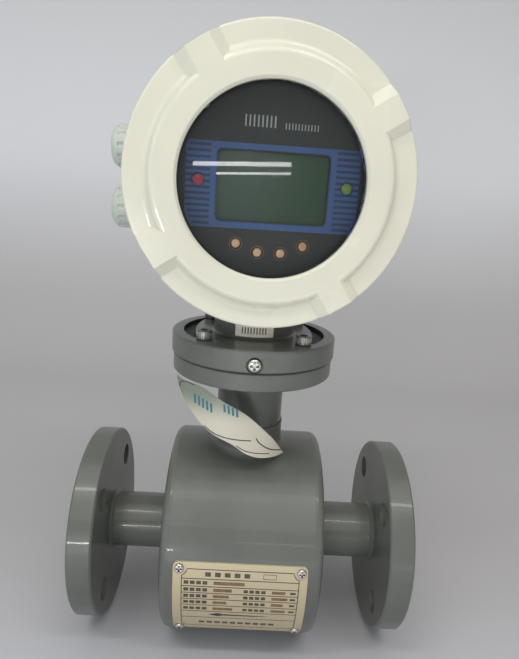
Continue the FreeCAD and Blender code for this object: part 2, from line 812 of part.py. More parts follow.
def cover(front, skirt_end, seat_end, window):
    """Screw-on cover with four pockets between tapered ribs."""
    ribs, flats = rib_tools(front)
    pockets = cover_pockets(front)
    for rib in ribs:
        pockets = pockets.cut(rib)
    body = cover_blank(front, skirt_end, seat_end, window).cut(pockets)
    for flat in flats:
        body = body.cut(flat)
    return body.removeSplitter()


def facing_back(shape):
    """Turn a cover drawn facing the reader so that it closes the rear compartment."""
    return polar(shape, 180, Y_AXIS)


def front_cover_parts():
    """Cover, its window and what holds the window in."""
    body = cover(cover_front, housing_front + cover_skirt_gap, collar_end, True)
    gasket_back = cover_front - lip_thickness - glass_gasket
    glass_back = gasket_back - glass_thickness
    seat = glass_diameter / 2
    glass = rod(seat, glass_back, gasket_back)
    gasket = sleeve(seat, seat - retainer_width, gasket_back, gasket_back + glass_gasket)
    retainer = sleeve(seat, seat - retainer_width, glass_back - retainer_thickness, glass_back)
    slot = block((-2, -cover_radius, glass_back - retainer_thickness - 1),
                 (2, cover_radius, glass_back - retainer_thickness + 1.2))
    return body, glass, gasket, retainer.cut(slot).cut(polar(slot, 90))


def cover_seal(seat_end):
    """Square-section rubber seal carried inside a cover."""
    start = seat_end + cover_seal_gap
    return sleeve(collar_radius, collar_radius - cover_seal_section - 1, start, start + cover_seal_section)


def rear_cover_parts():
    """Blind cover of the terminal compartment and its seal, drawn facing the reader and turned."""
    body = cover(rear_cover_front, -housing_rear + cover_skirt_gap, -rear_collar_end, False)
    return facing_back(body), facing_back(cover_seal(-rear_collar_end))


# ---------------------------------------------------------------- display unit
def key_places():
    """Centres of the keys on their arc below the display."""
    first = -90 - key_pitch_angle * (key_count - 1) / 2
    angles = [math.radians(first + key_pitch_angle * number) for number in range(key_count)]
    return [Vector(key_ring_radius * math.cos(a), key_ring_radius * math.sin(a), 0) for a in angles]


def led_places():
    """Centres of the two lamps beside the display."""
    return [Vector(side * led_offset, 0, 0) for side in (-1, 1)]


def pillar_places():
    """Centres of the spacer pillars."""
    return [Vector(x, y, 0) for x in (-pillar_half, pillar_half) for y in (-pillar_half, pillar_half)]


def display_panel():
    """Black face plate with its display window, lamp holes and key holes."""
    panel = rod(housing_bore - panel_gap, panel_back, panel_front, Vector(-display_shift, 0, 0))
    panel = panel.cut(rounded_plate(lcd_width, lcd_height, lcd_corner, panel_back - 1, panel_front + 1,
                                    (0, -lcd_drop)))
    for place in led_places():
        panel = panel.cut(rod(led_diameter / 2, panel_back - 1, panel_front + 1, place))
    for place in key_places():
        panel = panel.cut(rod(key_hole / 2, panel_back - 1, panel_front + 1, place))
    for place in pillar_places():
        panel = panel.cut(rod(panel_screw_hole / 2, panel_back - 1, panel_front + 1, place))
    return panel


def display_overlay():
    """Printed film on the panel, open at the display, the lamps and the keys."""
    top = panel_front + overlay_thickness
    film = rod(overlay_radius, panel_front, top)
    film = film.cut(rounded_plate(lcd_width, lcd_height, lcd_corner, panel_front - 1, top + 1, (0, -lcd_drop)))
    for place in led_places():
        film = film.cut(rod(led_diameter / 2, panel_front - 1, top + 1, place))
    for place in key_places():
        film = film.cut(rod(key_hole / 2, panel_front - 1, top + 1, place))
    return film


def lcd_module():
    """Liquid-crystal module behind the window."""
    middle = -lcd_drop
    body = block((-lcd_module_width / 2, middle - lcd_module_height / 2, display_board_front),
                 (lcd_module_width / 2, middle + lcd_module_height / 2, panel_back - 1.2))
    glass = block((-lcd_module_width / 2 + 1, middle - lcd_module_height / 2 + 1, panel_back - 1.2),
                  (lcd_module_width / 2 - 1, middle + lcd_module_height / 2 - 1, panel_back))
    return fused(body, glass)


def lamp(place):
    """Round-nosed lamp standing on the display board."""
    nose = panel_front + led_stand_out
    body = rod(led_diameter / 2, display_board_front, nose)
    rim = [edge for edge in body.Edges if edge.BoundBox.ZMin > nose - 0.01]
    return moved(body.makeFillet(led_nose_round, rim), place)


def key(place):
    """Plunger with a flange behind the panel."""
    radius, nose = key_diameter / 2, panel_front + key_stand_out
    flange_front = panel_back - key_clearance
    flange_back = flange_front - key_flange_thickness
    tail = display_board_front + 2.0 + key_travel + key_clearance
    body = lathe([(0, tail), (radius * 0.6, tail), (radius * 0.6, flange_back), (key_flange / 2, flange_back),
                  (key_flange / 2, flange_front), (radius, flange_front), (radius, nose - 0.4),
                  (radius - 0.4, nose), (0, nose)])
    return moved(body, place)


def key_switches():
    """Tact switches under the keys."""
    half = switch_size / 2
    switches = []
    for place in key_places():
        base = block((place.x - half, place.y - half, display_board_front),
                     (place.x + half, place.y + half, display_board_front + 1.4))
        switches.append(fused(base, rod(1.2, display_board_front + 1.4, display_board_front + 2.0, place)))
    return switches


def board(front):
    """Round circuit board with a hole at each pillar."""
    body = rod(board_radius, front - board_thickness, front)
    for place in pillar_places():
        body = body.cut(rod(1.5, front - board_thickness - 1, front + 1, place))
    return body


def pillars(start, end):
    """Four hexagonal spacers."""
    return [hexagon(pillar_diameter * 0.9, start, end, place) for place in pillar_places()]


def board_components():
    """Power transformer and reservoir capacitors on the main board."""
    front = main_board_front

    def bar(size):
        x, y = transformer_centre
        return block((x - size[0] / 2, y - size[1] / 2, front), (x + size[0] / 2, y + size[1] / 2, front + size[2]))

    cans = [rod(capacitor_diameter / 2, front, front + capacitor_height, Vector(capacitor_offset, y, 0))
            for y in (-capacitor_spacing, 0, capacitor_spacing)]
    return [fused(bar(transformer_core), bar(transformer_coil))] + cans


def panel_screws():
    """Screws that hold the panel to its pillars."""
    screw = pan_screw(panel_screw, panel_thickness, panel_screw_head, panel_screw_head_height, panel_front)
    return [moved(screw, place) for place in pillar_places()]


def terminal_parts():
    """Terminal block on the partition's rear face, and its clamp screws."""
    length = terminal_ways * terminal_pitch + 3
    back = partition_front - partition_thickness
    nose = back - terminal_depth
    body = block((-length / 2, -terminal_height / 2, nose), (length / 2, terminal_height / 2, back))
    screws = []
    for number in range(terminal_ways):
        x = (number - (terminal_ways - 1) / 2) * terminal_pitch
        pocket = rod(terminal_screw / 2 + 0.4, nose - 1, nose + 4, Vector(x, 2, 0))
        entry = block((x - 2.4, -terminal_height / 2 - 1, nose + 4.5),
                      (x + 2.4, -terminal_height / 2 + 7, nose + 9.5))
        body = body.cut(pocket).cut(entry)
        head = rod(terminal_screw / 2, nose + 1.5, nose + 4, Vector(x, 2, 0))
        screws.append(head.cut(block((x - 3, 1.6, nose + 1), (x + 3, 2.4, nose + 2.4))))
    return body, screws


# ---------------------------------------------------------------- cable glands
def gland_parts(place):
    """Washer, body, bush and dome nut of one gland, drawn along its own axis and placed."""
    face = side_boss_face
    hex_start = face + gland_washer
    hex_end = hex_start + gland_hex_length
    collar_tip = hex_end + gland_collar_length
    bore = gland_bore / 2
    washer = sleeve(gland_hex / 2 - 0.3, gland_thread / 2, face, hex_start)
    body = fused(rod(gland_thread / 2, housing_bore - 3, hex_start),
                 hexagon(gland_hex, hex_start, hex_end), rod(gland_collar_diameter / 2, hex_end, collar_tip))
    body = body.cut(rod(bore, 0, collar_tip + wall_skip))
    bush_end = collar_tip + gland_bush_stand_out
    bush = sleeve(bore, gland_bush_bore / 2, hex_end - 1, bush_end)
    outer = gland_nut_diameter / 2
    skirt = hex_end + gland_nut_gap
    cavity = gland_collar_diameter / 2 + cover_thread_clearance
    shoulder = bush_end + gland_nut_gap
    mouth = gland_nut_mouth / 2
    nut = lathe([(cavity, skirt), (outer - 0.8, skirt), (outer, skirt + 0.8), (outer, gland_nut_end - 5),
                 ((outer - 1.3, gland_nut_end - 2), (outer - 4.5, gland_nut_end)), (mouth + 0.6, gland_nut_end),
                 (mouth, gland_nut_end - 0.6), (mouth, shoulder), (cavity, shoulder)])
    grip = rod(1.6, skirt - 1, gland_nut_end - 4, Vector(outer + 0.9, 0, 0))
    for number in range(12):
        nut = nut.cut(polar(grip, 30 * number))

    def placed(shape):
        copy = shape.copy()
        copy.rotate(ORIGIN, Y_AXIS, -90)
        copy.translate(place)
        return on_head(copy)

    return placed(washer), placed(body), placed(bush), placed(nut)


def earth_screw_part():
    """External earth screw with its cup washer."""
    screw = pan_screw(earth_screw, 9, earth_head, earth_head_height, side_boss_face + 1)
    washer = rod(earth_boss_diameter / 2 - 0.5, side_boss_face, side_boss_face + 1)
    part = fused(screw, washer)
    part.rotate(ORIGIN, Y_AXIS, 90)
    part.rotate(ORIGIN, Z_AXIS, earth_angle)
    part.translate(Vector(0, 0, gland_set_back))
    return on_head(part)


# ---------------------------------------------------------------- assembly
def save(node, shapes):
    """Write one node as a STEP file."""
    shapes = shapes if isinstance(shapes, list) else [shapes]
    shape = shapes[0] if len(shapes) == 1 else Part.makeCompound(shapes)
    count = len(shape.Solids)
    state = "" if shape.isValid() and count == len(shapes) else "  CHECK"
    print("%-20s solids %2d  volume %10.1f%s" % (node, count, shape.Volume, state))
    shape.exportStep("parts/%s.step" % node)


def sensor():
    """Everything below the swivel."""
    save("inlet_flange", flange(-1))
    save("outlet_flange", flange(1))
    save("measuring_tube", measuring_tube())
    save("liner", liner())
    save("liner_lips", liner_lips())
    electrodes, sleeves, nuts = electrode_parts()
    save("electrodes", electrodes)
    save("electrode_sleeves", sleeves)
    save("electrode_nuts", nuts)
    shoes, formers, windings, ring, screws = magnet_parts()
    save("pole_shoes", shoes)
    save("coil_formers", formers)
    save("coil_windings", windings)
    save("flux_return_ring", ring)
    save("yoke_screws", screws)
    save("drum_shell", drum_shell())
    save("drum_ends", [drum_end(-1), drum_end(1)])
    save("nameplate", nameplate())
    save("nameplate_screws", nameplate_screws())
    save("neck_tube", neck_tube())
    save("neck_collar", neck_collar())
    save("neck_flange", neck_flange())
    save("swivel_seal", swivel_seal())
    save("quality_tag", quality_tag())


def converter():
    """Everything that turns on the swivel."""
    save("swivel_ring", swivel_ring())
    save("swivel_screws", swivel_screws())
    save("foot_gasket", foot_gasket())
    save("stem", stem())
    save("foot_screws", foot_screws())
    save("coil_label", coil_label())
    save("housing", on_head(housing()))
    save("main_board", on_dial(board(main_board_front)))
    save("display_board", on_dial(board(display_board_front)))
    lower = pillars(partition_front, main_board_front - board_thickness)
    upper = pillars(main_board_front, display_board_front - board_thickness)
    save("board_pillars", [on_dial(piece) for piece in lower + upper])
    save("panel_pillars", [on_dial(piece) for piece in pillars(display_board_front, panel_back)])
    save("board_components", [on_dial(piece) for piece in board_components()])
    save("key_switches", [on_dial(piece) for piece in key_switches()])
    save("lcd_module", on_dial(lcd_module()))
    save("display_panel", on_dial(display_panel()))
    save("display_overlay", on_dial(display_overlay()))
    save("panel_screws", [on_dial(piece) for piece in panel_screws()])
    red, green = (lamp(place) for place in led_places())
    save("red_lamp", on_dial(red))
    save("green_lamp", on_dial(green))
    for number, place in enumerate(key_places(), 1):
        save("key_%d" % number, on_dial(key(place)))
    block_body, clamp_screws = terminal_parts()
    save("terminal_block", on_head(block_body))
    save("terminal_screws", [on_head(piece) for piece in clamp_screws])
    save("earth_screw", earth_screw_part())


def covers_and_glands():
    """The covers and the two cable glands."""
    body, glass, gasket, retainer = front_cover_parts()
    save("front_cover", on_head(body))
    save("window_glass", on_head(glass))
    save("window_gasket", on_head(gasket))
    save("glass_retainer", on_head(retainer))
    save("front_seal", on_head(cover_seal(collar_end)))
    back, seal = rear_cover_parts()
    save("rear_cover", on_head(back))
    save("rear_seal", on_head(seal))
    upper, lower = (gland_parts(place) for place in gland_places())
    save("gland_washers", [upper[0], lower[0]])
    save("gland_bodies", [upper[1], lower[1]])
    save("gland_bushes", [upper[2], lower[2]])
    save("gland_nut_upper", upper[3])
    save("gland_nut_lower", lower[3])


os.makedirs("parts", exist_ok=True)
sensor()
converter()
covers_and_glands()
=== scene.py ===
"""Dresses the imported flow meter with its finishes, printed marks, welds, threads and a plain studio."""
import logging
import math
from dataclasses import dataclass
from enum import Enum
from typing import Callable, Sequence, Union

import bmesh
import bpy
from mathutils import Matrix, Vector


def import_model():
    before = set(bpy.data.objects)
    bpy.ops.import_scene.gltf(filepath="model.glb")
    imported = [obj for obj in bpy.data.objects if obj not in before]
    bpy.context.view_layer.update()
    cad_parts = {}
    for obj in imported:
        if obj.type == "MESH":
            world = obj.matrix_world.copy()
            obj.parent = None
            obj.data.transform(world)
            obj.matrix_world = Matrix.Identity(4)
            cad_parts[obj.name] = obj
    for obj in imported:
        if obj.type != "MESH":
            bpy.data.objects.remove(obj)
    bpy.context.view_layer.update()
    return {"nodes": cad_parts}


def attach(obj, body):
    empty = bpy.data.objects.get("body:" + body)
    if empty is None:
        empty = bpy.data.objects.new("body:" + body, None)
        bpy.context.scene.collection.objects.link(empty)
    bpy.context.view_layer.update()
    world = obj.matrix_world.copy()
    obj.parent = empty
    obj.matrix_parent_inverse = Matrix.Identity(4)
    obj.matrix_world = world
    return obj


LOG = logging.getLogger("flow_meter")
MM = 0.001
HEAD_YAW = math.radians(4.0)
CORNERS = ((1, 1), (-1, 1), (-1, -1), (1, -1))
Colour = tuple[float, float, float]
Point = tuple[float, float]
Place = tuple[float, float, float]
Socket = bpy.types.NodeSocket
Value = Union[Socket, float]


class Side(Enum):
    """Which side of a symmetrical pair a piece belongs to."""

    LEFT = -1
    RIGHT = 1


# ------------------------------------------------------------------ node graph helpers
class Graph:
    """Small helper that adds nodes to a node tree and links them."""

    def __init__(self, tree: bpy.types.NodeTree) -> None:
        """Keep the shader or geometry node tree to build in."""
        self.tree = tree

    def set(self, socket: Socket, value) -> None:
        """Link an input socket to an output socket, or set its value."""
        if isinstance(value, Socket):
            self.tree.links.new(value, socket)
        else:
            socket.default_value = value

    def add(self, kind: str, inputs: dict | None = None, **settings) -> bpy.types.Node:
        """Add a node.

        Args:
            kind: the node's bl_idname.
            inputs: socket name or index to a value or to an output socket.
            **settings: properties set on the node.

        Returns:
            The new node.
        """
        node = self.tree.nodes.new(kind)
        for name, value in settings.items():
            setattr(node, name, value)
        for key, value in (inputs or {}).items():
            self.set(node.inputs[key], value)
        return node

    def math(self, operation: str, *values: Value) -> Socket:
        """Add a Math node and return its output."""
        return self.add("ShaderNodeMath", dict(enumerate(values)), operation=operation).outputs[0]

    def times(self, first: Value, second: Value) -> Socket:
        """Multiply two values."""
        return self.math("MULTIPLY", first, second)

    def plus(self, first: Value, second: Value) -> Socket:
        """Add two values."""
        return self.math("ADD", first, second)

    def minus(self, first: Value, second: Value) -> Socket:
        """Take the second value from the first."""
        return self.math("SUBTRACT", first, second)

    def vector(self, operation: str, first: Socket, second) -> bpy.types.Node:
        """Add a Vector Math node."""
        return self.add("ShaderNodeVectorMath", {0: first, 1: second}, operation=operation)

    def split(self, vector: Socket) -> bpy.types.NodeOutputs:
        """Separate a vector into X, Y and Z."""
        return self.add("ShaderNodeSeparateXYZ", {0: vector}).outputs

    def join(self, parts: dict[int, Value]) -> Socket:
        """Make a vector of some parts, by index, with zero elsewhere."""
        return self.add("ShaderNodeCombineXYZ", parts).outputs[0]

    def place(self) -> Socket:
        """Object coordinates."""
        return self.add("ShaderNodeTexCoord").outputs["Object"]

    def mix(self, factor: Value, first, second) -> Socket:
        """Mix two colours and return the result."""
        node = self.add("ShaderNodeMix", {0: factor}, data_type="RGBA")
        for index, value in ((6, first), (7, second)):
            self.set(node.inputs[index], value if isinstance(value, Socket) else (*value, 1.0))
        return node.outputs[2]

    def ramp(self, value: Value, low: float, high: float, out_low: float = 0.0,
             out_high: float = 1.0) -> Socket:
        """Map a value smoothly from one range to another, clamped."""
        return self.add("ShaderNodeMapRange", {0: value, 1: low, 2: high, 3: out_low, 4: out_high},
                        interpolation_type="SMOOTHSTEP").outputs[0]

    def noise(self, vector: Socket, scale: Value, detail: float = 2.0, roughness: float = 0.5) -> Socket:
        """Add a noise texture and return its value."""
        return self.add("ShaderNodeTexNoise", {"Vector": vector, "Scale": scale, "Detail": detail,
                                               "Roughness": roughness}).outputs["Fac"]


# ------------------------------------------------------------------ shared effects
# Each function draws one effect from the value that a material sets, and returns what each output sends.
def draw_peel(graph: Graph, scale: Socket) -> dict[str, Socket]:
    """Sprayed paint's orange peel, as a height."""
    place = graph.place()
    fine, slow = graph.noise(place, scale, 1.0), graph.noise(place, 95.0, 1.0)
    return {"Height": graph.plus(graph.times(fine, 0.35), graph.times(slow, 0.65))}


def draw_mottle(graph: Graph, scale: Socket) -> dict[str, Socket]:
    """Slow and fine variation of tone, as two masks."""
    place = graph.place()
    return {"Slow": graph.ramp(graph.noise(place, scale, 3.0), 0.32, 0.68),
            "Fine": graph.ramp(graph.noise(place, 620.0, 4.0, 0.65), 0.40, 0.72)}


def draw_dust(graph: Graph, amount: Socket) -> dict[str, Socket]:
    """Thin dust that settles on what faces up, as a mask."""
    place = graph.place()
    upward = graph.split(graph.add("ShaderNodeNewGeometry").outputs["Normal"])["Z"]
    specks = graph.ramp(graph.noise(place, 1500.0, 3.0, 0.7), 0.50, 0.75)
    film = graph.ramp(graph.noise(place, 60.0, 4.0, 0.6), 0.30, 0.75)
    cover = graph.plus(graph.times(film, 0.55), graph.times(specks, 0.45))
    return {"Mask": graph.times(graph.times(graph.ramp(upward, 0.15, 0.95), cover), amount)}


def draw_worn_edge(graph: Graph, radius: Socket) -> dict[str, Socket]:
    """Softened edges: the rounded normal, and a broken mask along the edge."""
    soft = graph.add("ShaderNodeBevel", {"Radius": radius}, samples=4).outputs[0]
    flat = graph.add("ShaderNodeNewGeometry").outputs["Normal"]
    bend = graph.ramp(graph.vector("DOT_PRODUCT", soft, flat).outputs["Value"], 0.995, 0.90)
    broken = graph.ramp(graph.noise(graph.place(), 260.0, 5.0, 0.7), 0.46, 0.66)
    return {"Normal": soft, "Mask": graph.times(bend, broken)}


def draw_brushed(graph: Graph, length: Socket) -> dict[str, Socket]:
    """Fine parallel scratches along X, as a mask."""
    parts = graph.split(graph.place())
    stretched = graph.join({0: graph.times(parts["X"], length), 1: parts["Y"], 2: parts["Z"]})
    return {"Mask": graph.ramp(graph.noise(stretched, 5200.0, 4.0, 0.7), 0.35, 0.70)}


def draw_crevice_shade(graph: Graph, reach: Socket) -> dict[str, Socket]:
    """Painted shade that darkens slots and tight corners, from ambient occlusion, as a mask."""
    open_share = graph.add("ShaderNodeAmbientOcclusion", {"Distance": reach}, samples=8)
    return {"Mask": graph.ramp(open_share.outputs["AO"], 0.80, 0.40)}


def draw_recess_shade(graph: Graph, level: Socket) -> dict[str, Socket]:
    """Painted shade: what lies behind a given level of the head's dial axis, as a mask."""
    axis = (math.sin(HEAD_YAW), -math.cos(HEAD_YAW), 0.0)
    depth = graph.vector("DOT_PRODUCT", graph.place(), axis).outputs["Value"]
    return {"Mask": graph.ramp(graph.minus(level, depth), -0.00015, 0.00025)}


def draw_sheen_lines(graph: Graph, scale: Socket) -> dict[str, Socket]:
    """Faint light streaks along X, a painted sheen, as a mask."""
    stretched = graph.vector("MULTIPLY", graph.place(), (0.16, 1.0, 1.0)).outputs[0]
    return {"Mask": graph.ramp(graph.noise(stretched, scale, 4.0, 0.6), 0.42, 0.70)}


class Effect(Enum):
    """Shader node groups that finishes share: name, the one value to set, its default, and the drawing."""

    PEEL = ("orange_peel", "Scale", 900.0, draw_peel)
    MOTTLE = ("tone_mottle", "Scale", 40.0, draw_mottle)
    DUST = ("settled_dust", "Amount", 0.3, draw_dust)
    WORN_EDGE = ("worn_edge", "Radius", 0.0006, draw_worn_edge)
    BRUSHED = ("brushed_grain", "Length", 0.03, draw_brushed)
    CREVICE_SHADE = ("painted_crevice_shade", "Reach", 0.001, draw_crevice_shade)
    RECESS_SHADE = ("dial_recess_shade", "Level", 0.038, draw_recess_shade)
    STREAKS = ("painted_sheen_lines", "Scale", 150.0, draw_sheen_lines)

    def build(self) -> bpy.types.NodeTree:
        """Make the effect's group.

        Returns:
            The group's tree.
        """
        name, label, default, draw = self.value
        tree = bpy.data.node_groups.new(name, "ShaderNodeTree")
        value = tree.interface.new_socket(label, in_out="INPUT", socket_type="NodeSocketFloat")
        value.default_value = default
        graph = Graph(tree)
        sent = draw(graph, graph.add("NodeGroupInput").outputs[label])
        for output in sent:
            kind = "NodeSocketVector" if output == "Normal" else "NodeSocketFloat"
            tree.interface.new_socket(output, in_out="OUTPUT", socket_type=kind)
        graph.add("NodeGroupOutput", sent)
        return tree


# ------------------------------------------------------------------ finishes
Groups = dict[Effect, bpy.types.NodeTree]


class Look(Graph):
    """A material's graph with its Principled shader."""

    def __init__(self, tree: bpy.types.NodeTree, groups: Groups) -> None:
        """Start from a bare shader.

        Args:
            tree: the material's node tree.
            groups: the shared groups by effect.
        """
        super().__init__(tree)
        tree.nodes.clear()
        self.groups = groups
        self.shader = self.add("ShaderNodeBsdfPrincipled")
        self.add("ShaderNodeOutputMaterial", {"Surface": self.shader.outputs[0]})

    def effect(self, effect: Effect, value: float) -> bpy.types.NodeOutputs:
        """Place a shared effect with its value set, and return its outputs."""
        return self.add("ShaderNodeGroup", {0: value}, node_tree=self.groups[effect]).outputs

    def feed(self, inputs: dict) -> None:
        """Set or link the shader's inputs by name."""
        for label, value in inputs.items():
            self.set(self.shader.inputs[label], value)

    def relief(self, height: Socket, strength: float, distance: float, normal: Socket | None = None) -> None:
        """Feed a height through Bump into the shader's normal."""
        inputs = {"Height": height, "Strength": strength, "Distance": distance}
        if normal is not None:
            inputs["Normal"] = normal
        self.feed({"Normal": self.add("ShaderNodeBump", inputs).outputs[0]})


def scaled(colour: Colour, factor: float, lift: float = 0.0) -> Colour:
    """A colour made lighter or darker, and held at white."""
    return tuple(min(1.0, part * factor + lift) for part in colour)


@dataclass(frozen=True)
class Finish:
    """A surface finish that becomes one material."""

    name: str
    colour: Colour
    roughness: float = 0.4

    def build(self, groups: Groups) -> bpy.types.Material:
        """Make the material.

        Args:
            groups: the shared groups by effect.

        Returns:
            The material.
        """
        material = bpy.data.materials.new(self.name)
        material.use_nodes = True
        look = Look(material.node_tree, groups)
        look.feed({"Base Color": (*self.colour, 1.0), "Roughness": self.roughness})
        self.shade(look)
        return material

    def shade(self, look: Look) -> None:
        """Draw the finish.

        Args:
            look: the material's graph.
        """
        raise NotImplementedError


@dataclass(frozen=True)
class Paint(Finish):
    """Sprayed gloss paint with orange peel, softened edges, dust, a slow change of tone and, where set,
    painted sheen streaks.
    """

    worn: Colour = (0.3, 0.3, 0.3)
    wear: float = 0.3
    dust: float = 0.25
    dust_colour: Colour = (0.5, 0.48, 0.43)
    peel: float = 0.10
    coat: float = 0.35
    edge: float = 0.5
    contrast: float = 0.10
    # Strength of the painted sheen: faint light streaks along X.
    sheen_lines: float = 0.0
    shine: float = 0.5

    def shade(self, look: Look) -> None:
        """Draw the paint."""
        tone = look.effect(Effect.MOTTLE, 22.0)
        dust = look.effect(Effect.DUST, self.dust)["Mask"]
        worn = look.effect(Effect.WORN_EDGE, self.edge * MM)
        light = scaled(self.colour, 1 + self.contrast)
        colour = look.mix(tone["Slow"], scaled(self.colour, 1 - self.contrast), light)
        colour = look.mix(look.times(tone["Fine"], 0.22), colour, light)
        # Painted sheen: lighter streaks along X.
        if self.sheen_lines:
            sheen_mask = look.effect(Effect.STREAKS, 150.0)["Mask"]
            colour = look.mix(look.times(sheen_mask, self.sheen_lines), colour, light)
        colour = look.mix(look.times(worn["Mask"], self.wear), colour, self.worn)
        rough = look.plus(look.times(tone["Slow"], 0.07), self.roughness - 0.03)
        look.feed({"Specular IOR Level": self.shine, "Coat Weight": self.coat, "Coat Roughness": 0.05,
                   "Base Color": look.mix(dust, colour, self.dust_colour),
                   "Roughness": look.plus(rough, look.times(dust, 0.5))})
        look.relief(look.effect(Effect.PEEL, 900.0)["Height"], self.peel, 0.4 * MM, worn["Normal"])


@dataclass(frozen=True)
class Metal(Finish):
    """Turned, brushed or plated metal with fine scratches and dulled patches, and where set, painted shade in
    slots and deep recesses.
    """

    tarnish: Colour = (0.35, 0.30, 0.22)
    tarnish_amount: float = 0.25
    grain: float = 0.25
    edge: float = 0.25
    # Dial depth in millimetres behind which the colour is darkened as painted shade; 0 leaves it off.
    recess_shade: float = 0.0
    # Reach in millimetres of the painted shade that darkens slots and tight corners; 0 leaves it off.
    crevice_shade: float = 0.0

    def shade(self, look: Look) -> None:
        """Draw the metal."""
        tone = look.effect(Effect.MOTTLE, 160.0)
        lines = look.effect(Effect.BRUSHED, 0.06)["Mask"]
        worn = look.effect(Effect.WORN_EDGE, self.edge * MM)
        colour = look.mix(look.times(tone["Slow"], self.tarnish_amount), self.colour, self.tarnish)
        colour = look.mix(look.times(lines, 0.18), colour, scaled(self.colour, 0.7))
        # Painted shade: slots, corners and what lies deep behind the dial are darkened.
        for effect, size, shade in ((Effect.CREVICE_SHADE, self.crevice_shade, 0.10), (Effect.RECESS_SHADE, self.recess_shade, 0.03)):
            if size:
                colour = look.mix(look.effect(effect, size * MM)["Mask"], colour, scaled(self.colour, shade))
        rough = look.plus(look.times(lines, 0.12), self.roughness)
        look.feed({"Metallic": 1.0, "Base Color": colour,
                   "Roughness": look.plus(rough, look.times(tone["Slow"], 0.10))})
        look.relief(lines, self.grain, 0.03 * MM, worn["Normal"])


@dataclass(frozen=True)
class Moulded(Finish):
    """Moulded plastic or rubber: a fine spark-eroded grain and soft edges."""

    grain_scale: float = 2200.0
    grain: float = 0.2
    sheen_spread: float = 0.10
    dust: float = 0.15
    edge: float = 0.3
    translucency: float = 0.0

    def shade(self, look: Look) -> None:
        """Draw the plastic."""
        if self.translucency:
            look.feed({"Subsurface Weight": self.translucency, "Subsurface Radius": (1.0, 1.0, 0.9),
                       "Subsurface Scale": 2.0 * MM})
        tone = look.effect(Effect.MOTTLE, 70.0)
        dust = look.effect(Effect.DUST, self.dust)["Mask"]
        worn = look.effect(Effect.WORN_EDGE, self.edge * MM)
        colour = look.mix(look.times(tone["Slow"], 0.6), self.colour, scaled(self.colour, 1.15, 0.01))
        look.feed({"Base Color": look.mix(dust, colour, (0.45, 0.43, 0.40)),
                   "Roughness": look.plus(look.times(tone["Fine"], self.sheen_spread), self.roughness)})
        skin = look.noise(look.place(), self.grain_scale, 3.0, 0.6)
        look.relief(skin, self.grain, 0.05 * MM, worn["Normal"])


@dataclass(frozen=True)
class Glass(Finish):
    """Clear flat window glass with a faint haze."""

    def shade(self, look: Look) -> None:
        """Draw the glass."""
        smear = look.noise(look.place(), 45.0, 5.0, 0.6)
        look.feed({"Transmission Weight": 1.0, "IOR": 1.45,
                   "Roughness": look.ramp(smear, 0.35, 0.75, self.roughness, self.roughness + 0.03)})


@dataclass(frozen=True)
class Printed(Finish):
    """Printed film, ink or paper with slight unevenness of ink and fibre."""

    second: Colour = (0.5, 0.5, 0.5)
    blotch: float = 0.2
    fibre: float = 0.15
    scale: float = 400.0
    gloss: float = 0.0

    def ink(self, look: Look, mask: Socket) -> Socket:
        """The colour of the print, from a mask of its uneven patches."""
        return look.mix(look.times(mask, self.blotch), self.colour, self.second)

    def shade(self, look: Look) -> None:
        """Draw the print."""
        tone = look.effect(Effect.MOTTLE, self.scale)
        look.feed({"Coat Weight": self.gloss, "Base Color": self.ink(look, tone["Slow"]),
                   "Roughness": look.plus(look.times(tone["Fine"], 0.12), self.roughness)})
        look.relief(look.noise(look.place(), 3000.0, 2.0), self.fibre, 0.03 * MM)


@dataclass(frozen=True)
class LightGradedPrint(Printed):
    """A print whose colour drifts evenly along one direction; the drift is painted light: a painted
    reflection on the display, a painted shadow on the tag.
    """

    far: Colour = (0.5, 0.5, 0.5)
    along: Place = (1.0, 0.0, 0.0)
    start: float = 0.0
    end: float = 0.1

    def ink(self, look: Look, mask: Socket) -> Socket:
        """The colour of the print, with its painted drift of light and shade."""
        way = look.vector("DOT_PRODUCT", look.place(), self.along).outputs["Value"]
        return look.mix(look.ramp(way, self.start, self.end), super().ink(look, mask), self.far)


@dataclass(frozen=True)
class BrushedPlate(Finish):
    """Lacquered plate of the nameplate: champagne metal, brushed along its length."""

    shadow: Colour = (0.5, 0.42, 0.28)
    metallic: float = 0.35

    def shade(self, look: Look) -> None:
        """Draw the plate."""
        lines = look.effect(Effect.BRUSHED, 0.02)["Mask"]
        tone = look.effect(Effect.MOTTLE, 55.0)
        worn = look.effect(Effect.WORN_EDGE, 0.25 * MM)
        colour = look.mix(look.times(lines, 0.35), self.colour, self.shadow)
        look.feed({"Metallic": self.metallic,
                   "Base Color": look.mix(look.times(tone["Slow"], 0.25), colour, self.shadow),
                   "Roughness": look.plus(look.times(lines, 0.15), self.roughness)})
        look.relief(lines, 0.15, 0.03 * MM, worn["Normal"])


# Body paint: painted sheen as faint light streaks along X.
BODY_PAINT = Paint("body_paint", (0.115, 0.120, 0.104), 0.33, worn=(0.18, 0.19, 0.17), wear=0.35, dust=0.12,
                   dust_colour=(0.30, 0.29, 0.25), peel=0.05, coat=0.22, sheen_lines=0.45, shine=0.35)
COVER_PAINT = Paint("cover_paint", (0.70, 0.675, 0.545), 0.24, worn=(0.84, 0.83, 0.76), wear=0.3, dust=0.05,
                    dust_colour=(0.62, 0.60, 0.52), peel=0.05, coat=0.55, edge=0.9, contrast=0.03)
STEEL = Metal("stainless_steel", (0.50, 0.49, 0.46), 0.22)
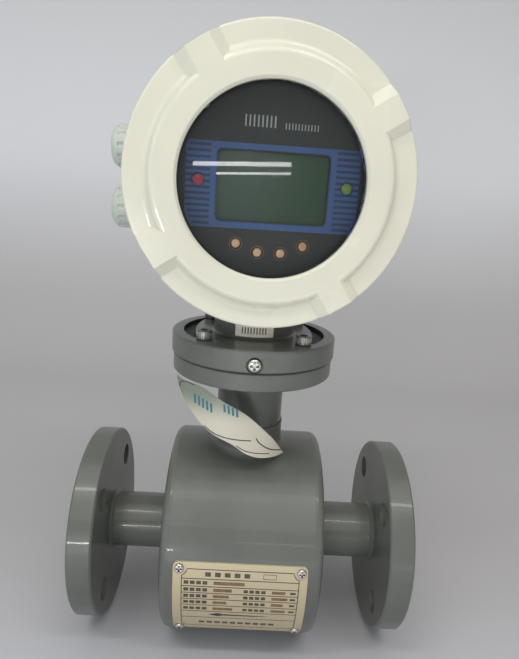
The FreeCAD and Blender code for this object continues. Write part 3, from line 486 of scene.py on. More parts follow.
# Screws and nickel parts: painted shade darkens their slots and tight corners.
SCREW_STEEL = Metal("screw_steel", (0.30, 0.28, 0.25), 0.26, tarnish=(0.20, 0.16, 0.12), crevice_shade=1.4)
NICKEL = Metal("nickel_plate", (0.62, 0.59, 0.53), 0.16, tarnish=(0.42, 0.36, 0.27), tarnish_amount=0.3,
               crevice_shade=1.2)
IRON = Metal("soft_iron", (0.30, 0.30, 0.31), 0.42, tarnish=(0.22, 0.13, 0.09), tarnish_amount=0.35)
COPPER = Metal("enamelled_copper", (0.62, 0.29, 0.15), 0.30, tarnish=(0.30, 0.11, 0.05), grain=0.5)
# Keys: painted shade darkens what sits deep in the key holes.
KEY_METAL = Metal("key_metal", (0.86, 0.56, 0.37), 0.34, tarnish=(0.60, 0.34, 0.20), recess_shade=37.9)
BEZEL_METAL = Metal("bezel_metal", (0.62, 0.36, 0.22), 0.30, tarnish=(0.40, 0.22, 0.13))
LINING = Moulded("fluoropolymer_lining", (0.80, 0.80, 0.78), 0.42, grain=0.08, dust=0.05, translucency=0.15)
RUBBER = Moulded("black_rubber", (0.014, 0.014, 0.013), 0.55, grain=0.3, dust=0.12)
NYLON = Moulded("nylon", (0.55, 0.52, 0.44), 0.45, translucency=0.1)
GLAND_PLASTIC = Moulded("gland_nylon", (0.50, 0.53, 0.47), 0.38, grain=0.10, dust=0.08, translucency=0.25)
BLACK_PLASTIC = Moulded("black_plastic", (0.016, 0.017, 0.018), 0.42)
SWITCH_PLASTIC = Moulded("switch_plastic", (0.03, 0.03, 0.03), 0.35)
TERMINAL_PLASTIC = Moulded("terminal_plastic", (0.03, 0.10, 0.06), 0.45)
BOARD = Moulded("circuit_board", (0.02, 0.13, 0.06), 0.32, grain_scale=900.0, grain=0.25)
RED_LENS = Moulded("red_lens", (0.52, 0.045, 0.085), 0.22, grain=0.03, translucency=0.3)
GREEN_LENS = Moulded("green_lens", (0.24, 0.36, 0.05), 0.22, grain=0.03, translucency=0.3)
WINDOW = Glass("window_glass", (0.93, 0.95, 0.93), 0.0)
# Liquid crystal: darker and greener towards +X, a painted reflection.
LCD = LightGradedPrint("liquid_crystal", (0.062, 0.108, 0.078), 0.16, second=(0.078, 0.125, 0.092), scale=30.0,
             fibre=0.0, far=(0.034, 0.082, 0.038), start=-0.012, end=0.032)
PANEL_FILM = Printed("panel_film", (0.032, 0.035, 0.033), 0.34, second=(0.05, 0.052, 0.05), scale=60.0)
BLUE_INK = Printed("blue_ink", (0.052, 0.125, 0.330), 0.34, second=(0.070, 0.145, 0.345), scale=90.0,
                   fibre=0.05)
NAVY_INK = Printed("navy_ink", (0.028, 0.052, 0.135), 0.34, second=(0.038, 0.066, 0.160), scale=90.0,
                   fibre=0.05)
WHITE_INK = Printed("white_ink", (0.55, 0.56, 0.54), 0.5, second=(0.42, 0.43, 0.41))
BLACK_INK = Printed("black_ink", (0.030, 0.028, 0.024), 0.5, second=(0.07, 0.06, 0.045), blotch=0.5)
WORD_INK = Printed("word_ink", (0.055, 0.045, 0.030), 0.5, second=(0.11, 0.09, 0.06), blotch=0.6)
BROWN_INK = Printed("brown_ink", (0.15, 0.09, 0.035), 0.5, second=(0.24, 0.15, 0.07), blotch=0.7)
TEAL_INK = Printed("teal_ink", (0.025, 0.145, 0.175), 0.5, second=(0.05, 0.22, 0.25), blotch=0.4)
PAPER = Printed("label_paper", (0.86, 0.80, 0.68), 0.6, second=(0.70, 0.66, 0.58), scale=120.0, fibre=0.3)
# Tag film: darker towards the top, from Z 84 to 102 mm, a painted shadow under the neck flange.
TAG_FILM = LightGradedPrint("tag_film", (0.58, 0.54, 0.43), 0.30, second=(0.50, 0.44, 0.33), scale=35.0, fibre=0.05,
                  gloss=0.4, far=(0.20, 0.22, 0.165), along=(0.0, 0.0, 1.0), start=0.084, end=0.102)
PLATE = BrushedPlate("nameplate_metal", (0.56, 0.475, 0.31), 0.42)

NODE_FINISHES: dict[Finish, str] = {
    BODY_PAINT: "inlet_flange outlet_flange measuring_tube drum_shell drum_ends neck_tube neck_collar "
                "neck_flange swivel_ring stem housing",
    COVER_PAINT: "front_cover rear_cover",
    STEEL: "electrodes electrode_nuts yoke_screws earth_screw",
    SCREW_STEEL: "foot_screws",
    NICKEL: "nameplate_screws swivel_screws board_pillars panel_pillars panel_screws terminal_screws "
            "glass_retainer",
    IRON: "pole_shoes flux_return_ring",
    COPPER: "coil_windings",
    KEY_METAL: "key_1 key_2 key_3 key_4",
    LINING: "liner liner_lips",
    RUBBER: "swivel_seal foot_gasket window_gasket front_seal rear_seal gland_washers gland_bushes",
    NYLON: "electrode_sleeves coil_formers",
    GLAND_PLASTIC: "gland_bodies gland_nut_upper gland_nut_lower",
    BLACK_PLASTIC: "display_panel board_components",
    SWITCH_PLASTIC: "key_switches",
    TERMINAL_PLASTIC: "terminal_block",
    BOARD: "main_board display_board",
    RED_LENS: "red_lamp",
    GREEN_LENS: "green_lamp",
    WINDOW: "window_glass",
    LCD: "lcd_module",
    PANEL_FILM: "display_overlay",
    PAPER: "coil_label",
    TAG_FILM: "quality_tag",
    PLATE: "nameplate",
}


class Palette:
    """Builds each finish's material once and hands it out."""

    def __init__(self) -> None:
        """Build every shared group once."""
        self.groups = {effect: effect.build() for effect in Effect}
        self.made: dict[Finish, bpy.types.Material] = {}

    def material(self, finish: Finish) -> bpy.types.Material:
        """Return the finish's material, building it on first use."""
        if finish not in self.made:
            self.made[finish] = finish.build(self.groups)
        return self.made[finish]

    def dress_nodes(self, nodes: dict[str, bpy.types.Object]) -> None:
        """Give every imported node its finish.

        Args:
            nodes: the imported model's nodes by name.
        """
        finishes = {name: finish for finish, names in NODE_FINISHES.items() for name in names.split()}
        if set(finishes) != set(nodes):
            raise ValueError("nodes and finishes differ: %s" % sorted(set(finishes) ^ set(nodes)))
        for name, finish in finishes.items():
            set_material(nodes[name].data, self.material(finish))
        LOG.info("dressed %d nodes", len(finishes))


# ------------------------------------------------------------------ mesh helpers
def set_material(mesh: bpy.types.Mesh, material: bpy.types.Material) -> None:
    """Give a mesh one material in place of what it has."""
    mesh.materials.clear()
    mesh.materials.append(material)


def linked(name: str, mesh: bpy.types.Mesh) -> bpy.types.Object:
    """Link a mesh to the scene as an object at the origin."""
    piece = bpy.data.objects.new(name, mesh)
    bpy.context.scene.collection.objects.link(piece)
    return piece


def plain_mesh(name: str, build: bmesh.types.BMesh, outward: bool = True) -> bpy.types.Mesh:
    """Turn a bmesh into a mesh and free it.

    Args:
        name: the mesh's name.
        build: the bmesh.
        outward: whether its faces are turned outward first.

    Returns:
        The mesh.
    """
    if outward:
        bmesh.ops.recalc_face_normals(build, faces=build.faces)
    mesh = bpy.data.meshes.new(name)
    build.to_mesh(mesh)
    build.free()
    return mesh


class Sheeting:
    """Collects flat outlines and lays them on a surface as thin solid strips of ink or film."""

    def __init__(self, place: Callable[[float, float, float], Vector], thickness: float = 0.03,
                 step: float = 1.5) -> None:
        """Keep the surface to lay on.

        Args:
            place: maps (across, up, height) in millimetres to a point in metres.
            thickness: height of the strips in millimetres.
            step: longest edge in millimetres before an edge is divided.
        """
        self.place = place
        self.thickness = thickness
        self.step = step
        self.build = bmesh.new()

    def quad(self, *corners: Point) -> None:
        """Lay a patch with four corners, in turn, divided so that it follows the surface."""
        a, b, c, d = (Vector(corner) for corner in corners)
        across = max(1, math.ceil(max((b - a).length, (c - d).length) / self.step))
        up = max(1, math.ceil(max((d - a).length, (c - b).length) / self.step))

        def row(height: float, v: int) -> list[bmesh.types.BMVert]:
            start, end = a.lerp(d, v / up), b.lerp(c, v / up)
            return [self.build.verts.new(self.place(*start.lerp(end, u / across), height))
                    for u in range(across + 1)]

        def rim(rows: list) -> list[bmesh.types.BMVert]:
            return (rows[0] + [line[-1] for line in rows[1:]] + rows[-1][-2::-1]
                    + [line[0] for line in rows[-2:0:-1]])

        top, base = ([row(height, v) for v in range(up + 1)] for height in (self.thickness, 0.0))
        for v in range(up):
            for u in range(across):
                self.build.faces.new((top[v][u], top[v][u + 1], top[v + 1][u + 1], top[v + 1][u]))
                self.build.faces.new((base[v][u], base[v + 1][u], base[v + 1][u + 1], base[v][u + 1]))
        upper, lower = rim(top), rim(base)
        for i, corner in enumerate(upper):
            self.build.faces.new((corner, lower[i], lower[(i + 1) % len(lower)], upper[(i + 1) % len(upper)]))

    def rectangle(self, left: float, bottom: float, right: float, top: float) -> None:
        """Lay a rectangle."""
        self.quad((left, bottom), (right, bottom), (right, top), (left, top))

    def bars(self, count: int, left: float, pitch: float, width: float, bottom: float, top: float) -> None:
        """Lay a row of equal bars.

        Args:
            count: how many.
            left: where the first one starts.
            pitch: the distance from one to the next.
            width: each bar's width.
            bottom: the lower edge of all.
            top: the upper edge of all.
        """
        for i in range(count):
            self.rectangle(left + i * pitch, bottom, left + i * pitch + width, top)

    def stroke(self, points: Sequence[Point], width: float) -> None:
        """Lay a line of a given width through points."""
        spots = [Vector(point) for point in points]
        sides = []
        for i, spot in enumerate(spots):
            ahead = spots[min(i + 1, len(spots) - 1)] - spots[max(i - 1, 0)]
            normal = Vector((-ahead.y, ahead.x)).normalized() * width / 2
            sides.append((spot - normal, spot + normal))
        for (low, high), (next_low, next_high) in zip(sides, sides[1:]):
            self.quad(low, next_low, next_high, high)

    def frame(self, left: float, bottom: float, right: float, top: float, width: float) -> None:
        """Lay the four sides of a rectangle as lines."""
        half = width / 2
        for level in (bottom, top):
            self.rectangle(left - half, level - half, right + half, level + half)
        for side in (left, right):
            self.rectangle(side - half, bottom + half, side + half, top - half)

    def finish(self, name: str) -> bpy.types.Mesh:
        """Turn what was laid into a mesh."""
        bmesh.ops.remove_doubles(self.build, verts=self.build.verts, dist=1e-7)
        return plain_mesh(name, self.build)


def smooth_line(spots: Sequence[Point], count: int = 6) -> list[Point]:
    """Points along a rounded line through the given ones."""
    given = [Vector(spot) for spot in spots]
    padded = [2 * given[0] - given[1], *given, 2 * given[-1] - given[-2]]
    line = []
    for a, b, c, d in zip(padded, padded[1:], padded[2:], padded[3:]):
        for i in range(count):
            t = i / count
            spot = 0.5 * (2 * b + (c - a) * t + (2 * a - 5 * b + 4 * c - d) * t ** 2
                          + (3 * b - a - 3 * c + d) * t ** 3)
            line.append((spot.x, spot.y))
    return [*line, tuple(given[-1])]


# ------------------------------------------------------------------ geometry node trees
class Tree(Graph):
    """A geometry node tree with named inputs that ends in Realize Instances and Set Material."""

    def __init__(self, name: str, **kinds: str) -> None:
        """Make the tree and its sockets.

        Args:
            name: the tree's name.
            **kinds: the socket kind of each input between the geometry and the material.
        """
        super().__init__(bpy.data.node_groups.new(name, "GeometryNodeTree"))
        face = self.tree.interface
        face.new_socket("Geometry", in_out="OUTPUT", socket_type="NodeSocketGeometry")
        for label, kind in {"Geometry": "Geometry", **kinds, "Material": "Material"}.items():
            face.new_socket(label, in_out="INPUT", socket_type="NodeSocket" + kind)
        self.given = self.add("NodeGroupInput").outputs

    def circle(self, resolution: int, label: str) -> Socket:
        """A curve circle whose radius is a named input."""
        return self.add("GeometryNodeCurvePrimitiveCircle",
                        {"Resolution": resolution, "Radius": self.given[label]}).outputs["Curve"]

    def sweep(self, curve: Socket, profile: Socket, **extra) -> Socket:
        """Sweep a profile along a curve."""
        inputs = {"Curve": curve, "Profile Curve": profile, **extra}
        return self.add("GeometryNodeCurveToMesh", inputs).outputs[0]

    def smooth(self, geometry: Socket) -> Socket:
        """Shade a geometry smooth."""
        return self.add("GeometryNodeSetShadeSmooth", {0: geometry}).outputs[0]

    def instances(self, points: Socket, instance: Socket, **extra) -> Socket:
        """Put an instance on every point."""
        inputs = {"Points": points, "Instance": instance, **extra}
        return self.add("GeometryNodeInstanceOnPoints", inputs).outputs[0]

    def close(self, geometry: Socket) -> "Tree":
        """Realize, set the material, send the geometry out and return the tree."""
        real = self.add("GeometryNodeRealizeInstances", {0: geometry}).outputs[0]
        dressed = self.add("GeometryNodeSetMaterial", {"Geometry": real, "Material": self.given["Material"]})
        self.add("NodeGroupOutput", {0: dressed.outputs[0]})
        return self

    def make(self, name: str, places: Sequence[Place], values: dict, move: Matrix | None) -> bpy.types.Mesh:
        """Run the tree on a set of points and return the plain mesh.

        Args:
            name: the mesh's name.
            places: points that the tree reads as its geometry, in millimetres.
            values: input name to value.
            move: a matrix applied to the result. Where it mirrors, the faces are turned back.

        Returns:
            The mesh.
        """
        base = bpy.data.meshes.new(name + "_places")
        base.from_pydata([tuple(Vector(place) * MM) for place in places], [], [])
        holder = linked(name + "_holder", base)
        modifier = holder.modifiers.new("tree", "NODES")
        modifier.node_group = self.tree
        for item in self.tree.interface.items_tree:
            if item.in_out == "INPUT" and item.name in values:
                modifier[item.identifier] = values[item.name]
        bpy.context.view_layer.update()
        evaluated = holder.evaluated_get(bpy.context.evaluated_depsgraph_get())
        mesh = bpy.data.meshes.new_from_object(evaluated)
        mesh.name = name
        holder.modifiers.clear()
        bpy.data.objects.remove(holder)
        bpy.data.meshes.remove(base)
        if move is not None:
            mesh.transform(move)
            if move.determinant() < 0:
                mesh.flip_normals()
        return mesh


def weld_bead_tree() -> Tree:
    """A ring of weld: a circle with a rippled bead swept along it."""
    tree = Tree("weld_bead", Radius="Float", Bead="Float", Ripple="Float", Seed="Int")
    noise = tree.add("ShaderNodeTexNoise", {"Scale": 420.0, "Detail": 2.0, "W": tree.given["Seed"]},
                     noise_dimensions="4D").outputs[0]
    size = tree.plus(tree.times(tree.minus(noise, 0.5), tree.given["Ripple"]), 1.0)
    uneven = tree.add("GeometryNodeSetCurveRadius", {"Curve": tree.circle(180, "Radius"), "Radius": size})
    radius = tree.add("GeometryNodeInputRadius").outputs[0]
    return tree.close(tree.smooth(tree.sweep(uneven.outputs[0], tree.circle(14, "Bead"), Scale=radius)))


def thread_tree() -> Tree:
    """A helical thread ridge round the Z axis."""
    tree = Tree("thread_ridge", Radius="Float", Height="Float", Turns="Float", Ridge="Float")
    given = tree.given
    helix = tree.add("GeometryNodeCurveSpiral", {"Resolution": 120, "Rotations": given["Turns"],
                                                 "Start Radius": given["Radius"],
                                                 "End Radius": given["Radius"], "Height": given["Height"]})
    return tree.close(tree.sweep(helix.outputs[0], tree.circle(6, "Ridge"), **{"Fill Caps": True}))


def ring_tree() -> Tree:
    """A round bezel at every point, lying in the XY plane."""
    tree = Tree("bezel_rings", Radius="Float", Wire="Float")
    ring = tree.smooth(tree.sweep(tree.circle(40, "Radius"), tree.circle(8, "Wire")))
    return tree.close(tree.instances(tree.given["Geometry"], ring))


def knurl_tree() -> Tree:
    """A ring of upright ridges round every point, as on a knurled screw head."""
    tree = Tree("knurl_ridges", Radius="Float", Count="Int", Ridge="Vector")
    circle = tree.add("GeometryNodeMeshCircle", {"Vertices": tree.given["Count"],
                                                 "Radius": tree.given["Radius"]}).outputs[0]
    ridge = tree.add("GeometryNodeMeshCube", {"Size": tree.given["Ridge"]}).outputs[0]
    place = tree.add("GeometryNodeInputPosition").outputs[0]
    turn = tree.add("FunctionNodeAlignRotationToVector", {"Vector": place}, axis="X").outputs[0]
    return tree.close(tree.instances(tree.given["Geometry"], tree.instances(circle, ridge, Rotation=turn)))


def stripe_tree() -> Tree:
    """A stack of level bars, each ending on a circle round the origin."""
    tree = Tree("clipped_stripes", Count="Int", Bottom="Float", Pitch="Float", Inner="Float",
                Circle="Float", Bar="Float", Thickness="Float")
    given = tree.given
    line = tree.add("GeometryNodeMeshLine", {"Count": given["Count"],
                                             "Start Location": tree.join({1: given["Bottom"]}),
                                             "Offset": tree.join({1: given["Pitch"]})}).outputs[0]
    level = tree.split(tree.add("GeometryNodeInputPosition").outputs[0])["Y"]
    square = tree.minus(tree.times(given["Circle"], given["Circle"]), tree.times(level, level))
    reach = tree.minus(tree.math("SQRT", square), given["Inner"])
    middle = tree.join({0: tree.plus(given["Inner"], tree.times(reach, 0.5))})
    moved = tree.add("GeometryNodeSetPosition", {"Geometry": line, "Offset": middle}).outputs[0]
    bar = tree.add("GeometryNodeMeshCube", {"Size": (1.0, 1.0, 1.0)}).outputs[0]
    size = tree.join({0: reach, 1: given["Bar"], 2: given["Thickness"]})
    return tree.close(tree.instances(moved, bar, Scale=size))


# ------------------------------------------------------------------ sub-assemblies
def shift_along(x: float = 0.0, z: float = 0.0) -> Matrix:
    """A move along X and Z, in millimetres."""
    return Matrix.Translation(Vector((x, 0, z)) * MM)


@dataclass
class Assembly:
    """A part of the object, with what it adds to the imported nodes."""

    palette: Palette

    def piece(self, name: str, mesh: bpy.types.Mesh, finish: Finish, body: str, slot: str) -> None:
        """Add a piece that rides on a body, with its finish.

        Args:
            name: the piece's name.
            mesh: its mesh, in place.
            finish: its finish.
            body: the body that it rides on.
            slot: not used.
        """
        set_material(mesh, self.palette.material(finish))
        piece = linked(name, mesh)
        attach(piece, body)
        LOG.info("piece %s: %d faces on %s", name, len(mesh.polygons), body)

    def printed(self, name: str, ink: Sheeting, finish: Finish, body: str, slot: str) -> None:
        """Add what was laid on a surface as a piece."""
        self.piece(name, ink.finish(name), finish, body, slot)

    def grown(self, name: str, tree: Tree, finish: Finish, body: str, slot: str, lengths: dict,
              values: dict | None = None, places: Sequence[Place] = ((0.0, 0.0, 0.0),),
              move: Matrix | None = None) -> None:
        """Add a piece that a geometry node tree makes.

        Args:
            name: the piece's name.
            tree: the tree.
            finish: its finish.
            body: the body that it rides on.
            slot: the record's material slot.
            lengths: input name to a size, or to three sizes, in millimetres.
            values: input name to a plain value.
            places: the points that the tree reads, in millimetres.
            move: a matrix applied to the result.
        """
        sizes = {label: [part * MM for part in size] if isinstance(size, tuple) else size * MM
                 for label, size in lengths.items()}
        inputs = {**sizes, **(values or {}), "Material": self.palette.material(finish)}
        self.piece(name, tree.make(name, places, inputs, move), finish, body, slot)


@dataclass
class Sensor(Assembly):
    """Pipe, drum and nameplate: welds and the plate's printing."""

    pipe_radius: float = 16.85
    drum_radius: float = 61.5
    drum_half: float = 45.0
    collar_radius: float = 20.3
    fillet_leg: float = 3.6
    weld_bead: float = 1.6
    plate_thickness: float = 0.8
    plate_angle: float = -11.7
    plate_screw: Point = (33.1, 23.6)
    plate_notch: float = 4.2
    plate_box: tuple[float, float, float, float] = (-31.6, 31.9, 23.4, -21.7)
    plate_rows: tuple[float, ...] = (17.9, 13.3, 9.1, 4.9, 0.3, -4.8, -10.8)
    plate_line: float = 0.46
    word_rows: tuple[float, ...] = (15.6, 11.2, 7.0, 2.6, -2.3)
    value_ends: tuple[float, ...] = (2.6, -4.2, -5.6, -6.8, -3.4)
    second_value_ends: tuple[float, ...] = (25.0, 26.4, 24.2, 25.6)
    arrow: tuple[float, float, float] = (-16.7, 16.8, -7.6)

    def on_plate(self, across: float, up: float, height: float) -> Vector:
        """Map a place on the unrolled nameplate to the bent plate's outer face."""
        radius = self.drum_radius + self.plate_thickness + height
        angle = math.radians(self.plate_angle) + up / (self.drum_radius + self.plate_thickness)
        return Vector((across, -radius * math.cos(angle), radius * math.sin(angle))) * MM

    def welds(self) -> None:
        """Lay the weld beads at both drum ends."""
        tree = weld_bead_tree()
        turn = Matrix.Rotation(math.radians(90), 4, "Y")
        for side in Side:
            self.grown("drum_weld_%s" % side.name.lower(), tree, BODY_PAINT, "sensor", "body_paint",
                       {"Radius": self.pipe_radius + 0.4, "Bead": self.weld_bead},
                       {"Ripple": 0.35, "Seed": 3 + side.value},
                       move=shift_along(x=side.value * (self.drum_half + 0.2)) @ turn)

    def collar_fillet(self, around: int = 144, up: int = 8) -> None:
        """Build the smooth fillet between the collar and the drum it is saddled on.

        Args:
            around: steps round the collar.
            up: steps across the fillet.
        """
        build = bmesh.new()
        rows = []
        for i in range(around):
            turn = 2 * math.pi * i / around
            row = []
            for j in range(up + 1):
                lean = math.pi / 2 * j / up
                out = self.collar_radius - 0.15 + self.fillet_leg * (1 - math.cos(lean))
                rise = self.fillet_leg * (1 - math.sin(lean))
                across, depth = out * math.cos(turn), out * math.sin(turn)
                top = math.sqrt(self.drum_radius ** 2 - depth ** 2) + rise - 0.05
                row.append(build.verts.new(Vector((across, depth, top)) * MM))
            rows.append(row)
        for row, after in zip(rows, [*rows[1:], rows[0]]):
            for j in range(up):
                build.faces.new((row[j], after[j], after[j + 1], row[j + 1]))
        mesh = plain_mesh("collar_fillet", build)
        mesh.shade_smooth()
        self.piece("collar_fillet", mesh, BODY_PAINT, "sensor", "body_paint")

    def plate_frame(self, ink: Sheeting) -> None:
        """Rule the plate's frame, stepped round the four screws in quarter arcs."""
        left, right, top, bottom = self.plate_box
        across, up = self.plate_screw

        def half_chord(offset: float) -> float:
            return math.sqrt(max(0.0, self.plate_notch ** 2 - offset ** 2))

        spots = []
        for sign_x, sign_y in CORNERS:
            centre = Vector((sign_x * across, sign_y * up))
            side, level = (right if sign_x > 0 else left), (top if sign_y > 0 else bottom)
            first = Vector((side, centre.y - sign_y * half_chord(side - centre.x))) - centre
            last = Vector((centre.x - sign_x * half_chord(level - centre.y), level)) - centre
            turn = first.angle_signed(last)
            arc = [centre + Matrix.Rotation(-turn * i / 8, 2) @ first for i in range(9)]
            spots += arc if sign_x * sign_y > 0 else arc[::-1]
        ink.stroke([*spots, spots[0]], self.plate_line)

    def plate_rules(self) -> None:
        """Print the plate's ruled frame, its rows and the flow arrow."""
        ink = Sheeting(self.on_plate)
        half = self.plate_line / 2
        left, right, _, _ = self.plate_box
        self.plate_frame(ink)
        for row in self.plate_rows:
            ink.rectangle(left, row - half, right, row + half)
        head, tail, middle = self.arrow
        barb, root, taper = head + 5.2, head + 8.0, tail - 8.0
        ink.quad((head, middle), (barb, middle - 1.5), (root, middle - 0.7), (root, middle))
        ink.quad((head, middle), (root, middle), (root, middle + 0.7), (barb, middle + 1.5))
        ink.quad((root, middle - 0.66), (taper, middle - 0.46), (taper, middle + 0.46), (root, middle + 0.66))
        ink.quad((taper, middle - 0.46), (tail, middle - 0.08), (tail, middle + 0.08), (taper, middle + 0.46))
        self.printed("nameplate_rules", ink, BLACK_INK, "sensor", "black_plastic")

    def plate_words(self) -> None:
        """Stand plain bars where the plate's words and stamped values go."""
        words, values = Sheeting(self.on_plate), Sheeting(self.on_plate)
        words.bars(5, -19.0, 5.3, 3.1, 19.4, 21.9)
        words.frame(12.6, 19.3, 19.4, 22.0, 0.30)
        for line, row in enumerate(self.word_rows):
            words.bars(4, -30.4, 3.4, 2.6, row - 1.05, row + 1.05)
            values.rectangle(-14.3, row - 1.0, self.value_ends[line], row + 1.0)
            if line:
                words.bars(4, 2.2, 3.2, 2.4, row - 1.0, row + 1.0)
                values.rectangle(17.6, row - 0.95, self.second_value_ends[line - 1], row + 0.95)
                words.rectangle(27.6, row - 0.7, 30.6, row + 0.7)
        words.bars(10, -21.8, 4.35, 3.1, -17.5, -15.1)
        self.printed("nameplate_word_bars", words, WORD_INK, "sensor", "black_plastic")
        self.printed("nameplate_value_bars", values, BROWN_INK, "sensor", "black_plastic")

    def build(self) -> None:
        """Build every piece of the sensor."""
        self.welds()
        self.collar_fillet()
        self.plate_rules()
        self.plate_words()


@dataclass
class Neck(Assembly):
    """Swivel, stem and tag: knurled screw heads, the label's mark and the tag's print."""

    ring_top: float = 129.5
    screw_spacing: float = 53.6
    head_radius: float = 4.25
    knurl: Place = (0.44, 0.50, 3.7)
    knurl_count: int = 24
    stem_radius: float = 23.5
    label_thickness: float = 0.2
    tag_radius: float = 38.3
    tag_centre: Point = (-11.5, -0.5)
    tag_lines: tuple[tuple[float, tuple[Point, ...]], ...] = (
        (0.62, ((-24.6, 83.1), (-18.7, 79.4), (-11.0, 77.2), (1.6, 75.5))),
        (0.50, ((-6.5, 72.9), (0.1, 69.0), (12.6, 65.4))),
        (0.62, ((4.4, 76.5), (6.8, 72.9), (12.4, 68.3), (19.5, 64.8))),
        (0.55, ((-39.7, 101.5), (-38.8, 104.5), (-35.2, 105.8), (-31.0, 105.1))),
    )

    def screw_knurls(self) -> None:
        """Cut the knurl of the four foot screws."""
        half = self.screw_spacing / 2
        self.grown("foot_screw_knurl", knurl_tree(), STEEL, "head", "stainless",
                   {"Radius": self.head_radius, "Ridge": self.knurl}, {"Count": self.knurl_count},
                   [(x, y, self.ring_top + 2.3) for x in (-half, half) for y in (-half, half)])

    def on_label(self, across: float, up: float, height: float) -> Vector:
        """Map a place on the unrolled label to the stem."""
        radius = self.stem_radius + self.label_thickness + height
        angle = across / radius
        return Vector((radius * math.sin(angle), -radius * math.cos(angle), self.ring_top + 1.5 + up)) * MM

    def label_mark(self) -> None:
        """Stand plain bars on the stem's paper label."""
        ink = Sheeting(self.on_label)
        ink.bars(9, -7.0, 1.62, 0.6, 1.7, 5.4)
        self.printed("label_bars", ink, BLACK_INK, "head", "black_plastic")

    def on_tag(self, across: float, up: float, height: float) -> Vector:
        """Map a place seen from the reading side to the tag's curled outer face."""
        radius = self.tag_radius + height
        depth = math.sqrt(max(0.0, radius ** 2 - (across - self.tag_centre[0]) ** 2))
        return Vector((across, self.tag_centre[1] - depth, up)) * MM

    def tag_print(self) -> None:
        """Print the tag's curved lines and its plain teal bars."""
        lines, marks = Sheeting(self.on_tag, step=1.0), Sheeting(self.on_tag, step=1.0)
        for width, spots in self.tag_lines:
            lines.stroke(smooth_line(spots), width)
        self.printed("tag_lines", lines, BLACK_INK, "sensor", "black_plastic")
        for left, top, height, count in ((-30.4, 100.4, 5.4, 5), (-14.0, 97.0, 4.6, 4)):
            for i in range(count):
                across, level = left + i * 2.3, top - i * 0.9
                marks.stroke([(across, level), (across + 0.5, level - height)], 1.2)
        self.printed("tag_shapes", marks, TEAL_INK, "sensor", "tag_film")

    def build(self) -> None:
        """Build every piece of the neck."""
        self.screw_knurls()
        self.label_mark()
        self.tag_print()


